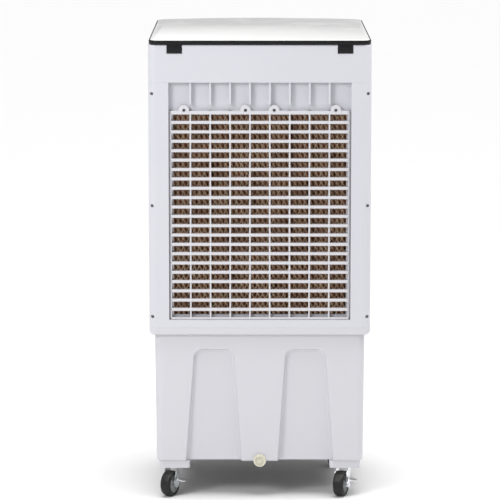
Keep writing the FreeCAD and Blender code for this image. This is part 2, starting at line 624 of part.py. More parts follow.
def rear_grille():
    front = REAR - GRILLE_DROP
    back = front - GRILLE_DEPTH
    low = OPENING_BOTTOM + GAP
    plate = box(-GRILLE_HALF, GRILLE_HALF, back, front, low, GRILLE_TOP)
    tabs = [rod_y(x, back, back + TAB_T, GRILLE_SCREW_Z, TAB_R) for x in GRILLE_SCREW_X]
    body = fuse([plate] + tabs)
    inner = GRILLE_HALF - GRILLE_BORDER
    pitch_x = slot_column_pitch()
    slot_w = pitch_x - RIB_W
    top = GRILLE_TOP - GRILLE_BAR
    slots = []
    for row in range(SLOT_ROWS):
        z1 = top - row * SLOT_PITCH
        for column in range(SLOT_COLUMNS):
            x0 = -inner + column * pitch_x
            slots.append(box(x0, x0 + slot_w, back - 1, front + 1, z1 - SLOT_H, z1))
    body = body.cut(Part.makeCompound(slots))
    for x in GRILLE_SCREW_X:
        body = body.cut(rod_y(x, back - 1, front + 1, GRILLE_SCREW_Z, SCREW_R + SCREW_FREE))
        body = body.cut(rod_y(x, back + TAB_SEAT, front + 1, GRILLE_SCREW_Z, SCREW_HEAD_R + GAP))
    return body


def screw_y(x, seat, z, length):
    """Pan-head screw along Y whose head stands on the +Y side of the seat."""
    top = seat + SCREW_HEAD_H
    head = rod_y(x, seat, top, z, SCREW_HEAD_R)
    shank = rod_y(x, seat - length, seat, z, SCREW_R - 0.05)
    long, wide = SCREW_CROSS
    cross = [box(x - a, x + a, seat + SCREW_HEAD_H / 2, top + 1, z - b, z + b)
             for a, b in ((long, wide), (wide, long))]
    return fuse([head, shank]).cut(cross[0]).cut(cross[1])


def cover_screws():
    return Part.makeCompound([screw_y(side * COVER_SCREW_X, REAR - SCREW_SINK, z, COVER_WRAP + SCREW_GRIP)
                              for side in (-1, 1) for z in cover_screw_heights()])


def grille_screws():
    seat = REAR - GRILLE_DROP - GRILLE_DEPTH + TAB_SEAT
    return Part.makeCompound([screw_y(x, seat, GRILLE_SCREW_Z, GRILLE_SCREW_L) for x in GRILLE_SCREW_X])


# ---- cooling pad --------------------------------------------------------------------------------------
PAD_BACK = REAR - RECESS - LEDGE_T - GAP - PAD_WALL     # pad face towards the grille
PAD_FRONT = PAD_BACK - PAD_T


def cooling_pad():
    return box(-PAD_HALF + GAP, PAD_HALF - GAP, PAD_FRONT, PAD_BACK, PAD_BOTTOM, PAD_TOP - GAP)


def pad_frame():
    w = PAD_WALL
    outer = box(-PAD_HALF - w, PAD_HALF + w, PAD_FRONT - w, PAD_BACK + w, PAD_BOTTOM - w, PAD_TOP + w)
    hollow = box(-PAD_HALF, PAD_HALF, PAD_FRONT, PAD_BACK, PAD_BOTTOM, PAD_TOP)
    lip = 5.0
    window = box(-PAD_HALF + lip, PAD_HALF - lip, PAD_FRONT - 20, PAD_BACK + 20,
                 PAD_BOTTOM + lip, PAD_TOP - lip)
    drip = [rod_z(-PAD_HALF + 22 + i * 33.0, (PAD_FRONT + PAD_BACK) / 2, PAD_TOP - 5, PAD_TOP + 5, 3.0)
            for i in range(11)]
    body = outer.cut(hollow).cut(window).cut(Part.makeCompound(drip))
    return body


def water_distributor():
    z0 = PAD_TOP + PAD_WALL
    z1 = z0 + TROUGH_H
    y0, y1 = PAD_FRONT - PAD_WALL, PAD_BACK + PAD_WALL
    half = PAD_HALF - 1.0
    trough = box(-half, half, y0, y1, z0, z1).cut(box(-half + 2, half - 2, y0 + 2, y1 - 2, z0 + 2, z1 + 1))
    drip = [rod_z(-PAD_HALF + 22 + i * 33.0, (y0 + y1) / 2, z0 - 1, z0 + 5, 2.5) for i in range(11)]
    trough = trough.cut(Part.makeCompound(drip))
    y = (y0 + y1) / 2
    spigot = rod_x(half - 1, half + 10, y, z0 + TROUGH_H / 2, HOSE_BORE - 0.2)
    body = fuse([trough, spigot])
    return body.cut(rod_x(half - 10, half + 20, y, z0 + TROUGH_H / 2, 3.0))


# ---- top deck, control panel ----------------------------------------------------------------------------
BASIN = (150.0, -62.0, 118.0, 884.0)      # half width, y from, y to, floor height


def hinge_pocket(side, grow):
    reach = math.hypot(HINGE_DROP - 3.0, REAR + LID_PROUD - HINGE_Y) + 0.8
    half = HINGE_W / 2 + 0.6 + grow
    x = side * HINGE_X
    return box(x - half, x + half, HINGE_Y - reach - grow, REAR + 5,
               LID_BOTTOM - HINGE_DROP - 1.2 - grow, DECK_TOP + 5)


def top_deck():
    outer = plan_solid(0.0, DECK_BOTTOM, DECK_TOP)
    rim = [e for e in outer.Edges if e.BoundBox.ZMin > DECK_TOP - 0.1]
    outer = outer.makeFillet(2.0, rim)
    hollow = plan_solid(WALL, DECK_BOTTOM, DECK_TOP - WALL, CORNER_R - WALL)
    half, y0, y1, floor = BASIN
    basin_outer = rounded_box(-half - 2.5, half + 2.5, y0 - 2.5, y1 + 2.5, floor - 2.5, DECK_TOP - 1, 14.0)
    basin = rounded_box(-half, half, y0, y1, floor, DECK_TOP + 5, 12.0)
    body = fuse([outer.cut(hollow), basin_outer])
    for side in (-1, 1):
        block = hinge_pocket(side, 5.0).common(plan_solid(0.5, DECK_BOTTOM, DECK_TOP - 1.0))
        body = body.fuse(block)
    body = body.cut(basin)
    body = body.cut(rod_z(-half + 30, y1 - 25, floor - 10, floor + 10, 5.0))
    for side in (-1, 1):
        body = body.cut(hinge_pocket(side, 0.0))
        x = side * HINGE_X
        reach = HINGE_PIN_HALF + 0.5
        body = body.cut(rod_x(x - reach, x + reach, HINGE_Y, HINGE_Z, HINGE_PIN_R + 0.03))
    z0, z1 = PANEL_Z
    half = PANEL_HALF - PANEL_LAP
    body = body.cut(box(-half, half, FRONT - 5, FRONT + 20, z0 + PANEL_LAP, z1 - PANEL_LAP))
    return body.removeSplitter()


def front_y(x, proud=0.0):
    """Depth of the front face at sideways place x."""
    half = WIDTH / 2 - FRONT_TAPER
    radius = (half * half + BOW * BOW) / (2 * BOW)
    return FRONT - proud + radius - math.sqrt(radius * radius - x * x)


def control_panel():
    z0, z1 = PANEL_Z
    skin = plan_solid(-PANEL_PROUD, z0 - 1, z1 + 1).cut(plan_solid(0.0, z0 - 1, z1 + 1))
    flange = skin.common(rounded_box(-PANEL_HALF, PANEL_HALF, FRONT - 10, FRONT + 20, z0, z1, 8.0, "y"))
    plug = plan_solid(-0.5, z0 - 1, z1 + 1).cut(plan_solid(WALL, z0 - 1, z1 + 1, CORNER_R - WALL))
    edge = PANEL_LAP + GAP
    half = PANEL_HALF - edge
    inner = plug.common(box(-half, half, FRONT - 10, FRONT + 20, z0 + edge, z1 - edge))
    body = fuse([flange, inner])
    mid = (z0 + z1) / 2
    for x in KEY_X:
        body = body.cut(rod_y(x, FRONT - 10, FRONT + 20, mid, KEY_R + GAP))
    glass = display_block(GAP, 0)
    return body.cut(glass).removeSplitter()


def display_block(grow, shift):
    mid = (PANEL_Z[0] + PANEL_Z[1]) / 2
    wide, high = DISPLAY_HALF + grow, DISPLAY_H / 2 + grow
    return rounded_box(DISPLAY_X - wide, DISPLAY_X + wide, FRONT - 2.2 - grow + shift, FRONT + 6.0 + 2 * grow,
                       mid - high, mid + high, 2.0, "y")


def display_window():
    return display_block(0.0, 0.4)


def key_cap(x):
    mid = (PANEL_Z[0] + PANEL_Z[1]) / 2
    face = front_y(x, PANEL_PROUD) - KEY_PROUD
    cap = rod_y(x, face, face + 7.0, mid, KEY_R)
    rim = [e for e in cap.Edges if e.BoundBox.YMax < face + 0.1]
    cap = cap.makeFillet(1.0, rim)
    inside = front_y(abs(x) + KEY_R + KEY_FLANGE) + WALL + GAP
    flange = rod_y(x, inside, inside + KEY_FLANGE, mid, KEY_R + KEY_FLANGE)
    stem = rod_y(x, face + 5, BOARD_Y - SWITCH_H - KEY_TRAVEL - GAP, mid, KEY_STEM_R)
    return fuse([cap, flange, stem])


def control_board():
    z0, z1 = PANEL_Z
    half = PANEL_HALF - BOARD_IN
    board = box(-half, half, BOARD_Y, BOARD_Y + BOARD_T, z0 + BOARD_IN, z1 - BOARD_IN)
    mid = (z0 + z1) / 2
    switches = [box(x - 3, x + 3, BOARD_Y - SWITCH_H, BOARD_Y, mid - 3, mid + 3) for x in KEY_X]
    block = box(-30, 6, BOARD_Y + BOARD_T, BOARD_Y + 12, z0 + 14, z1 - 14)
    display = box(DISPLAY_X - DISPLAY_HALF + 2, DISPLAY_X + DISPLAY_HALF - 2, FRONT + 7.2, BOARD_Y,
                  mid - DISPLAY_H / 2 + 1, mid + DISPLAY_H / 2 - 1)
    posts = [rod_y(x, front_y(x) + WALL - 0.5, BOARD_Y, z, 2.2)
             for x in (-PANEL_HALF + 12, PANEL_HALF - 12) for z in (z0 + 11, z1 - 11)]
    return fuse([board, block, display] + switches + [p.cut(plan_ring_solid()) for p in posts])


def plan_ring_solid():
    """The walls of the deck and panel, to trim what bears on them."""
    z0, z1 = PANEL_Z
    return plan_solid(-PANEL_PROUD, z0, z1).cut(plan_solid(WALL, z0, z1, CORNER_R - WALL))


# ---- front outlet --------------------------------------------------------------------------------------
def louvre_heights():
    pitch = (OUT_TOP - OUT_BOTTOM) / LOUVRES
    return [OUT_BOTTOM + pitch * (i + 0.5) for i in range(LOUVRES)]


def vane_places():
    pitch = 2 * OUT_HALF / VANES
    return [-OUT_HALF + pitch * (i + 0.5) for i in range(VANES)]


def front_bezel():
    b = BEZEL_BORDER
    skin = plan_solid(-BEZEL_PROUD, OUT_BOTTOM - b, OUT_TOP + b).cut(
        plan_solid(0.0, OUT_BOTTOM - b, OUT_TOP + b))
    flange = skin.common(rounded_box(-OUT_HALF - b, OUT_HALF + b, FRONT - 10, FRONT + 60,
                                     OUT_BOTTOM - b, OUT_TOP + b, 12.0, "y"))
    duct = box(-OUT_HALF - WALL, OUT_HALF + WALL, FRONT - 10, DUCT_BACK, OUT_BOTTOM - WALL, OUT_TOP + WALL)
    duct = duct.common(plan_solid(-BEZEL_PROUD, OUT_BOTTOM - 30, OUT_TOP + 30))
    body = fuse([flange, duct])
    body = body.cut(box(-OUT_HALF, OUT_HALF, FRONT - 20, DUCT_BACK + 5, OUT_BOTTOM, OUT_TOP))
    for z in louvre_heights():
        body = body.cut(rod_x(-OUT_HALF - 10, OUT_HALF + 10, LOUVRE_Y, z, PIVOT_R + RUN))
    for x in vane_places():
        body = body.cut(rod_z(x, VANE_Y, OUT_BOTTOM - 10, OUT_TOP + 10, PIVOT_R + RUN))
    return body.removeSplitter()


def blade_section(chord, thick):
    """A lens-shaped blade section around the origin, chord along Y, thickness along Z."""
    h, t = chord / 2, thick / 2
    upper = Part.Arc(V(0, -h, 0.4), V(0, 0, t), V(0, h, 0.4)).toShape()
    lower = Part.Arc(V(0, h, -0.4), V(0, 0, -t), V(0, -h, -0.4)).toShape()
    ends = [Part.LineSegment(V(0, h, 0.4), V(0, h, -0.4)).toShape(),
            Part.LineSegment(V(0, -h, -0.4), V(0, -h, 0.4)).toShape()]
    return Part.Face(Part.Wire([upper, ends[0], lower, ends[1]]))


def louvre(z):
    half = OUT_HALF - 2.0
    blade = blade_section(LOUVRE_CHORD, BLADE_T * 1.3).extrude(V(2 * half, 0, 0))
    blade.translate(V(-half, LOUVRE_Y, z))
    pins = [rod_x(-OUT_HALF - 2.4, -half + 4, LOUVRE_Y, z, PIVOT_R),
            rod_x(half - 4, OUT_HALF + 2.4, LOUVRE_Y, z, PIVOT_R)]
    notch_half = LINK_T / 2 + 1.0
    notch = box(TIE_X - notch_half, TIE_X + notch_half, LOUVRE_Y + LINK_ARM - 5.6,
                LOUVRE_Y + LOUVRE_CHORD, z - 5, z + 5)
    pin = rod_x(TIE_X - notch_half - 1, TIE_X + notch_half + 1, LOUVRE_Y + LINK_ARM, z, LINK_PIN_R)
    return fuse([blade.cut(notch), pin] + pins)


def louvre_tie_bar():
    heights = louvre_heights()
    y = LOUVRE_Y + LINK_ARM
    bar = rounded_box(TIE_X - LINK_T / 2, TIE_X + LINK_T / 2, y - LINK_W / 2, y + LINK_W / 2,
                      heights[0] - 5, heights[-1] + 5, 2.0, "x")
    for z in heights:
        bar = bar.cut(rod_x(TIE_X - 5, TIE_X + 5, y, z, LINK_PIN_R + 0.08))
    return bar


def swing_vane(x, low_pin):
    z0, z1 = OUT_BOTTOM + 2.0, OUT_TOP - 2.0
    blade = blade_section(VANE_CHORD, BLADE_T * 1.3).extrude(V(z1 - z0, 0, 0))
    blade.rotate(V(0, 0, 0), V(0, 1, 0), -90)
    blade.translate(V(x, VANE_Y, z0))
    pins = [rod_z(x, VANE_Y, low_pin, z0 + 4, PIVOT_R), rod_z(x, VANE_Y, z1 - 4, OUT_TOP + 2.4, PIVOT_R)]
    notch_half = LINK_T / 2 + 1.0
    notch = box(x - 5, x + 5, VANE_Y + LINK_ARM - 5.6, VANE_Y + VANE_CHORD,
                LINK_Z - notch_half, LINK_Z + notch_half)
    pin = rod_z(x, VANE_Y + LINK_ARM, LINK_Z - notch_half - 1, LINK_Z + notch_half + 1, LINK_PIN_R)
    return fuse([blade.cut(notch), pin] + pins)


def vane_link_bar():
    places = vane_places()
    y = VANE_Y + LINK_ARM
    bar = rounded_box(places[0] - 5, places[-1] + 5, y - LINK_W / 2, y + LINK_W / 2,
                      LINK_Z - LINK_T / 2, LINK_Z + LINK_T / 2, 2.0, "z")
    for x in places:
        bar = bar.cut(rod_z(x, y, LINK_Z - 5, LINK_Z + 5, LINK_PIN_R + 0.08))
    return bar


def swing_motor():
    x = vane_places()[0]
    top = OUT_BOTTOM - WALL
    can = rod_z(x, VANE_Y, top - 20, top - 1.5, 12.0)
    ears = rounded_box(x - 19, x + 19, VANE_Y - 6, VANE_Y + 6, top - 1.5, top, 4.0)
    lead = box(x - 6, x + 6, VANE_Y + 8, VANE_Y + 16, top - 16, top - 4)
    return fuse([can, ears, lead]).cut(rod_z(x, VANE_Y, top - 14, top + 1, PIVOT_R + RUN))


# ---- fan -----------------------------------------------------------------------------------------------
def fan_shroud():
    z0, z1 = OUT_BOTTOM - SHROUD_DROP, DECK_BOTTOM - GAP
    room = plan_solid(WALL + GAP, z0, z1, CORNER_R - WALL)
    plate = room.common(box(-WIDTH, WIDTH, SHROUD_Y, SHROUD_Y + SHROUD_T, z0, z1))
    ring = rod_y(0, FAN_Y - FAN_DEPTH / 2 - RING_LEAD, SHROUD_Y + SHROUD_T, FAN_Z, FAN_R + TIP_GAP + SHROUD_T)
    body = fuse([plate, ring])
    return body.cut(rod_y(0, FRONT, REAR, FAN_Z, FAN_R + TIP_GAP))


BRACKET_Y = SHROUD_Y + SHROUD_T


def motor_bracket():
    """Four arms that carry the motor behind the fan, seated on the back of the shroud."""
    reach = FAN_R + TIP_GAP + BRACKET_LAP
    half = BRACKET_W / 2
    ring = rod_y(0, BRACKET_Y, BRACKET_Y + BRACKET_T, FAN_Z, MOTOR_R - half)
    arms = []
    for angle in (45, 135, 225, 315):
        arm = box(0, reach, BRACKET_Y, BRACKET_Y + BRACKET_T, FAN_Z - half, FAN_Z + half)
        arm.rotate(V(0, 0, FAN_Z), V(0, 1, 0), angle)
        arms.append(arm)
    return fuse([ring] + arms).cut(rod_y(0, FRONT, REAR, FAN_Z, SHAFT_R + 4))


def fan_motor():
    y0 = BRACKET_Y + BRACKET_T
    can = rod_y(0, y0, y0 + MOTOR_L, FAN_Z, MOTOR_R)
    ends = [e for e in can.Edges if e.Length > 4 * MOTOR_R]
    can = can.makeFillet(MOTOR_EDGE_R, ends)
    slots = []
    deep, wide = VENT_SIZE
    for i in range(VENTS):
        slot = box(MOTOR_R - deep, MOTOR_R + 1, y0 + VENT_END, y0 + MOTOR_L - VENT_END,
                   FAN_Z - wide / 2, FAN_Z + wide / 2)
        slot.rotate(V(0, 0, FAN_Z), V(0, 1, 0), 360 / VENTS * i)
        slots.append(slot)
    return can.cut(Part.makeCompound(slots)).cut(rod_y(0, y0 - 1, y0 + MOTOR_L - 6, FAN_Z, SHAFT_R + RUN))


def motor_shaft():
    y0 = BRACKET_Y + BRACKET_T
    return rod_y(0, FAN_Y - FAN_DEPTH / 2 - SHAFT_NOSE, y0 + MOTOR_L - 8, FAN_Z, SHAFT_R)


def fan_rotor():
    y0, y1 = FAN_Y - FAN_DEPTH / 2, FAN_Y + FAN_DEPTH / 2
    hub = rod_y(0, y0, y1, FAN_Z, HUB_R)
    nose = [e for e in hub.Edges if e.BoundBox.YMax < y0 + 0.1]
    hub = hub.makeFillet(HUB_NOSE_R, nose)
    blades = []
    thin, wide = FAN_BLADE_T / 2, FAN_BLADE_W / 2
    for i in range(FAN_BLADES):
        blade = box(HUB_R - HUB_NOSE_R, FAN_R + 10, FAN_Y - thin, FAN_Y + thin, FAN_Z - wide, FAN_Z + wide)
        blade.rotate(V(0, FAN_Y, FAN_Z), V(1, 0, 0), FAN_PITCH)
        blade.rotate(V(0, 0, FAN_Z), V(0, 1, 0), 360 / FAN_BLADES * i)
        blades.append(blade)
    keep = rod_y(0, y0 - 10, y1 + 10, FAN_Z, FAN_R)
    bore = rod_y(0, y0 - 20, y1 + 20, FAN_Z, SHAFT_R + 0.03)
    return fuse([hub] + [b.common(keep) for b in blades]).cut(bore)


def spinner_nut():
    y1 = FAN_Y - FAN_DEPTH / 2
    cap = rod_y(0, y1 - NUT_L, y1, FAN_Z, NUT_R)
    rim = [e for e in cap.Edges if e.BoundBox.YMax < y1 - NUT_L + 0.1]
    return cap.makeFillet(3.0, rim).cut(rod_y(0, y1 - SHAFT_NOSE - 0.2, y1 + 1, FAN_Z, SHAFT_R + 0.03))


# ---- pump and hose ----------------------------------------------------------------------------------------
PUMP = (140.0, 60.0)
PUMP_SIZE = (48.0, 40.0, 40.0)
PUMP_R = 6.0
PUMP_Z = TANK_BOTTOM + WALL
FILTER_H = 18.0
FILTER_T = 3.0            # cage beyond the pump, and its wall
FILTER_SLOTS = 6
FILTER_SLOT = 3.0
OUTLET_R = 4.0
OUTLET_BORE = 2.8
OUTLET_L = 18.0
HOSE_R = 6.0
HOSE_BORE = 4.5
HOSE_START = 4.0          # lower end of the hose above the pump
HOSE_RISE = (70.0, 190.0)   # from the hose's end to its first and its second bend
HOSE_BENDS = (55.0, 55.0, 9.0)


def water_pump():
    x, y = PUMP
    w, d, h = PUMP_SIZE
    z0 = PUMP_Z + FILTER_H
    body = rounded_box(x - w / 2, x + w / 2, y - d / 2, y + d / 2, z0, z0 + h, PUMP_R)
    outlet = rod_z(x, y, z0 + h, z0 + h + OUTLET_L, OUTLET_R)
    return fuse([body, outlet]).cut(rod_z(x, y, z0 + h + 2, z0 + h + OUTLET_L + 1, OUTLET_BORE))


def pump_filter():
    x, y = PUMP
    w, d = PUMP_SIZE[0] / 2, PUMP_SIZE[1] / 2
    z0, z1, t = PUMP_Z, PUMP_Z + FILTER_H, FILTER_T
    cage = rounded_box(x - w - t, x + w + t, y - d - t, y + d + t, z0, z1, PUMP_R)
    cage = cage.cut(rounded_box(x - w, x + w, y - d, y + d, z0 + 2, z1 - 2, PUMP_R - 1))
    pitch = 2 * FILTER_SLOT
    first = y - pitch * FILTER_SLOTS / 2
    places = [first + pitch * i for i in range(FILTER_SLOTS)]
    slots = [box(x - w - t - 1, x + w + t + 1, y0, y0 + FILTER_SLOT, z0 + 4, z1 - 4) for y0 in places]
    return cage.cut(Part.makeCompound(slots))


def riser_hose():
    """Hose from the pump's outlet up beside the cooling pad to the distributor's spigot."""
    x0, y0 = PUMP
    start = PUMP_Z + FILTER_H + PUMP_SIZE[2] + HOSE_START
    y1 = (PAD_FRONT + PAD_BACK) / 2
    z1 = PAD_TOP + PAD_WALL + TROUGH_H / 2
    side = PAD_HALF + PAD_WALL + HOSE_R + 5.0
    end = PAD_HALF + 1.5
    low, high = (start + rise for rise in HOSE_RISE)
    points = [V(x0, y0, start), V(x0, y0, low), V(side, y1, high), V(side, y1, z1), V(end, y1, z1)]
    edges, here = [], points[0]
    for i, radius in enumerate(HOSE_BENDS, start=1):
        a, b = (points[i - 1] - points[i]).normalize(), (points[i + 1] - points[i]).normalize()
        half_angle = math.acos(max(-1.0, min(1.0, a.dot(b)))) / 2
        reach = radius / math.tan(half_angle)
        first, last = points[i] + a * reach, points[i] + b * reach
        middle_dir = (a + b).normalize()
        middle = points[i] + middle_dir * (radius / math.sin(half_angle) - radius)
        edges.append(Part.LineSegment(here, first).toShape())
        edges.append(Part.Arc(first, middle, last).toShape())
        here = last
    edges.append(Part.LineSegment(here, points[-1]).toShape())
    path = Part.Wire(edges)
    tubes = []
    for r in (HOSE_R, HOSE_BORE):
        ring = Part.Wire(Part.makeCircle(r, points[0], V(0, 0, 1)))
        tubes.append(path.makePipeShell([ring], True, False))
    return tubes[0].cut(tubes[1])


# ---- cord inlet ------------------------------------------------------------------------------------------
def cord_gland():
    face = -half_width(GLAND_Y)
    flange = rod_x(face - 3.0, face, GLAND_Y, GLAND_Z, CORD_R + GLAND_FLANGE)
    barrel = rod_x(face - 1.0, face + 14.0, GLAND_Y, GLAND_Z, CORD_R + GLAND_WALL - GAP)
    nut = rod_x(face + WALL + 0.8, face + WALL + 6.8, GLAND_Y, GLAND_Z, CORD_R + GLAND_FLANGE)
    trim = plan_solid(0.0, GLAND_Z - 20, GLAND_Z + 20)
    flange = flange.cut(trim)
    body = fuse([flange, barrel, nut])
    return body.cut(rod_x(face - 20, face + 20, GLAND_Y, GLAND_Z, CORD_R))


# ---- lid -------------------------------------------------------------------------------------------------
def lid_block(inset, z0, z1):
    return plan_solid(LID_INSET + inset, z0, z1, max(LID_R - inset, 2.0), LID_PROUD + LID_INSET)


def lid_rim():
    top = HEIGHT - RIM_SINK
    outer = lid_block(0.0, LID_BOTTOM, top)
    top_edges = [e for e in outer.Edges if e.BoundBox.ZMin > top - 0.1]
    outer = outer.makeFillet(0.8, top_edges)
    tray = lid_block(GLASS_EDGE, HEIGHT - GLASS_T, HEIGHT + 1)
    hollow = lid_block(RIM_W, LID_BOTTOM - 1, HEIGHT - GLASS_T - 2.0)
    lugs = []
    back = REAR + LID_PROUD
    for side in (-1, 1):
        x = side * HINGE_X
        lug = box(x - HINGE_W / 2, x + HINGE_W / 2, HINGE_Y - HINGE_LUG_T, back,
                  LID_BOTTOM - HINGE_DROP, LID_BOTTOM + 1)
        low = [e for e in lug.Edges
               if e.BoundBox.ZMax < LID_BOTTOM - HINGE_DROP + 0.1 and e.BoundBox.XLength > 5]
        lugs.append(lug.makeFillet(1.5, low))
    body = fuse([outer.cut(tray).cut(hollow)] + lugs)
    for side in (-1, 1):
        x = side * HINGE_X
        body = body.cut(rod_x(x - HINGE_W / 2 - 1, x + HINGE_W / 2 + 1, HINGE_Y, HINGE_Z, HINGE_PIN_R + RUN))
    return body.removeSplitter()


def lid_panel():
    glass = lid_block(GLASS_EDGE + 0.1, HEIGHT - GLASS_T, HEIGHT)
    top_edges = [e for e in glass.Edges if e.BoundBox.ZMin > HEIGHT - 0.1]
    return glass.makeFillet(0.6, top_edges)


def hinge_pins():
    return Part.makeCompound([rod_x(side * HINGE_X - HINGE_PIN_HALF, side * HINGE_X + HINGE_PIN_HALF,
                                    HINGE_Y, HINGE_Z, HINGE_PIN_R) for side in (-1, 1)])


# ---- write every node --------------------------------------------------------------------------------------
def caster_screws():
    screws = []
    for x, y, _ in caster_places():
        for dx, dy in plate_screw_places():
            seat = PLATE_TOP - PLATE_T
            head = rod_z(x + dx, y + dy, seat - PLATE_HEAD[1], seat, PLATE_HEAD[0])
            shank = rod_z(x + dx, y + dy, seat, PLATE_TOP + PLATE_SCREW_L, SCREW_R - 0.05)
            screws.append(fuse([head, shank]))
    return Part.makeCompound(screws)


def caster_plates():
    return Part.makeCompound([place(caster_plate(), (x, y, 0.0)) for x, y, _ in caster_places()])


def build_nodes():
    nodes = {
        "water_tank": water_tank(), "drain_fitting": drain_fitting(), "drain_plug": drain_plug(),
        "level_window": level_window(), "level_float": level_float(),
        "main_housing": main_housing(), "side_panels": side_panels(),
        "rear_cover": rear_cover(), "rear_grille": rear_grille(),
        "cover_screws": cover_screws(), "grille_screws": grille_screws(),
        "cooling_pad": cooling_pad(), "pad_frame": pad_frame(), "water_distributor": water_distributor(),
        "top_deck": top_deck(), "control_panel": control_panel(), "display_window": display_window(),
        "control_board": control_board(), "front_bezel": front_bezel(),
        "louvre_tie_bar": louvre_tie_bar(), "vane_link_bar": vane_link_bar(), "swing_motor": swing_motor(),
        "fan_shroud": fan_shroud(), "motor_bracket": motor_bracket(), "fan_motor": fan_motor(),
        "motor_shaft": motor_shaft(), "fan_rotor": fan_rotor(), "spinner_nut": spinner_nut(),
        "water_pump": water_pump(), "pump_filter": pump_filter(), "riser_hose": riser_hose(),
        "cord_gland": cord_gland(), "lid_rim": lid_rim(), "lid_panel": lid_panel(),
        "hinge_pins": hinge_pins(), "caster_plates": caster_plates(), "caster_screws": caster_screws(),
    }
    for i, x in enumerate(KEY_X, start=1):
        nodes[f"panel_key_{i}"] = key_cap(x)
    for i, z in enumerate(louvre_heights(), start=1):
        nodes[f"louvre_{i}"] = louvre(z)
    for i, x in enumerate(vane_places(), start=1):
        low_pin = OUT_BOTTOM - (14.0 if i == 1 else 2.4)
        nodes[f"swing_vane_{i}"] = swing_vane(x, low_pin)
    for i, spot in enumerate(caster_places(), start=1):
        nodes[f"caster_fork_{i}"] = place(caster_fork(), spot)
        nodes[f"caster_wheel_{i}"] = place(caster_wheel(), spot)
        if i <= 2:
            nodes[f"brake_lever_{i}"] = place(brake_lever(), spot)
    return nodes


def main():
    os.makedirs("parts", exist_ok=True)
    for name, shape in sorted(build_nodes().items()):
        shape.exportStep(f"parts/{name}.step")
        state = "valid" if shape.isValid() else "INVALID"
        print(name, len(shape.Solids), "solids", round(shape.Volume), state)


main()
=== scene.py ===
import json
import math
import bpy
import numpy as np
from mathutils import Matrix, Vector


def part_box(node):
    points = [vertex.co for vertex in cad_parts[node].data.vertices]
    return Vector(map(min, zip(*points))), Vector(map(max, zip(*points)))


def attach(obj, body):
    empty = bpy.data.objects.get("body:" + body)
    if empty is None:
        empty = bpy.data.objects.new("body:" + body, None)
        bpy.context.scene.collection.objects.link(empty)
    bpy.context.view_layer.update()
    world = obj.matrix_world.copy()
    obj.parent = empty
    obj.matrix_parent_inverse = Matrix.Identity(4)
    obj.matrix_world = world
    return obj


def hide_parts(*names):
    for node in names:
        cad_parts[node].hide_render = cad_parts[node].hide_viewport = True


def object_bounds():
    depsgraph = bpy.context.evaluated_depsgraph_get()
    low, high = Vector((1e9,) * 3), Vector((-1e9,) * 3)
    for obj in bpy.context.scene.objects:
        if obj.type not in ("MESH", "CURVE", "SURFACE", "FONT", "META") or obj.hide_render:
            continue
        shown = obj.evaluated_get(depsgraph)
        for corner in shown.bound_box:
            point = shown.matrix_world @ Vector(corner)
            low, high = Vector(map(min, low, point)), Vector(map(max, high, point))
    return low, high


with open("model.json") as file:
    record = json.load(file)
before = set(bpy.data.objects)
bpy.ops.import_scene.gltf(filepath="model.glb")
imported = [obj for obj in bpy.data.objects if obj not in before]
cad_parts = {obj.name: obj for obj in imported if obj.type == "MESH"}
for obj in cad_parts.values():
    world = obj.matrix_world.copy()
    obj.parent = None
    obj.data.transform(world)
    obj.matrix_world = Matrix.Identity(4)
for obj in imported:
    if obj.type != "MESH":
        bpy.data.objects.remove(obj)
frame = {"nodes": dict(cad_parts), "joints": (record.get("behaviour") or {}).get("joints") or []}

cadLow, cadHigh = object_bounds()
mm = 0.001
smoothAngle = math.radians(35.0)
nodes = frame["nodes"]
print("frame loaded:", len(nodes), "nodes")


def gridFaces(rows, cols, closeRows=False, closeCols=False):
    # quads of a rows x cols grid; a closed direction joins its last line to its first
    i = np.arange(rows if closeRows else rows - 1)
    j = np.arange(cols if closeCols else cols - 1)
    i, j = np.meshgrid(i, j, indexing="ij")
    i2, j2 = (i + 1) % rows, (j + 1) % cols
    quads = np.stack([i * cols + j, i2 * cols + j, i2 * cols + j2, i * cols + j2], axis=-1)
    return quads.reshape(-1, 4)


def tube(points, caps=True, flip=False):
    # points is (stations, ring, 3): each station's ring is closed, and the ends get flat caps
    stations, ring = points.shape[:2]
    faces = gridFaces(stations, ring, closeCols=True).tolist()
    if caps:
        faces.append(list(range(ring)))
        faces.append(list(range((stations - 1) * ring, stations * ring))[::-1])
    if not flip:
        faces = [f[::-1] for f in faces]
    return points.reshape(-1, 3), faces


def merge(parts):
    # puts several (points, faces) pairs into one
    points, faces, start = [], [], 0
    for p, f in parts:
        points.append(p)
        faces.extend([[k + start for k in face] for face in f])
        start += len(p)
    return np.concatenate(points), faces


def makePiece(name, part, material, body, replaced=()):
    # one piece of the model; edges sharper than the smoothing angle stay crisp
    points, faces = part
    mesh = bpy.data.meshes.new(name)
    mesh.from_pydata(points.tolist(), [], faces)
    mesh.validate()
    mesh.materials.append(material)
    mesh.polygons.foreach_set("use_smooth", np.ones(len(mesh.polygons), bool))
    mesh.set_sharp_from_angle(angle=smoothAngle)
    piece = bpy.data.objects.new(name, mesh)
    bpy.context.scene.collection.objects.link(piece)
    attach(piece, body)
    if replaced:
        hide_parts(*replaced)
    return piece


def roundedSection(width, height, radius, perCorner=4):
    # a rectangle about the origin whose corners are quarter circles of the given radius
    turns = np.linspace(0, math.pi / 2, perCorner)
    centres = [(1, 1, 0), (-1, 1, 1), (-1, -1, 2), (1, -1, 3)]
    rings = []
    for sx, sy, quarter in centres:
        a = turns + quarter * math.pi / 2
        rings.append(np.stack([sx * (width / 2 - radius) + radius * np.cos(a),
                               sy * (height / 2 - radius) + radius * np.sin(a)], axis=1))
    return np.concatenate(rings)


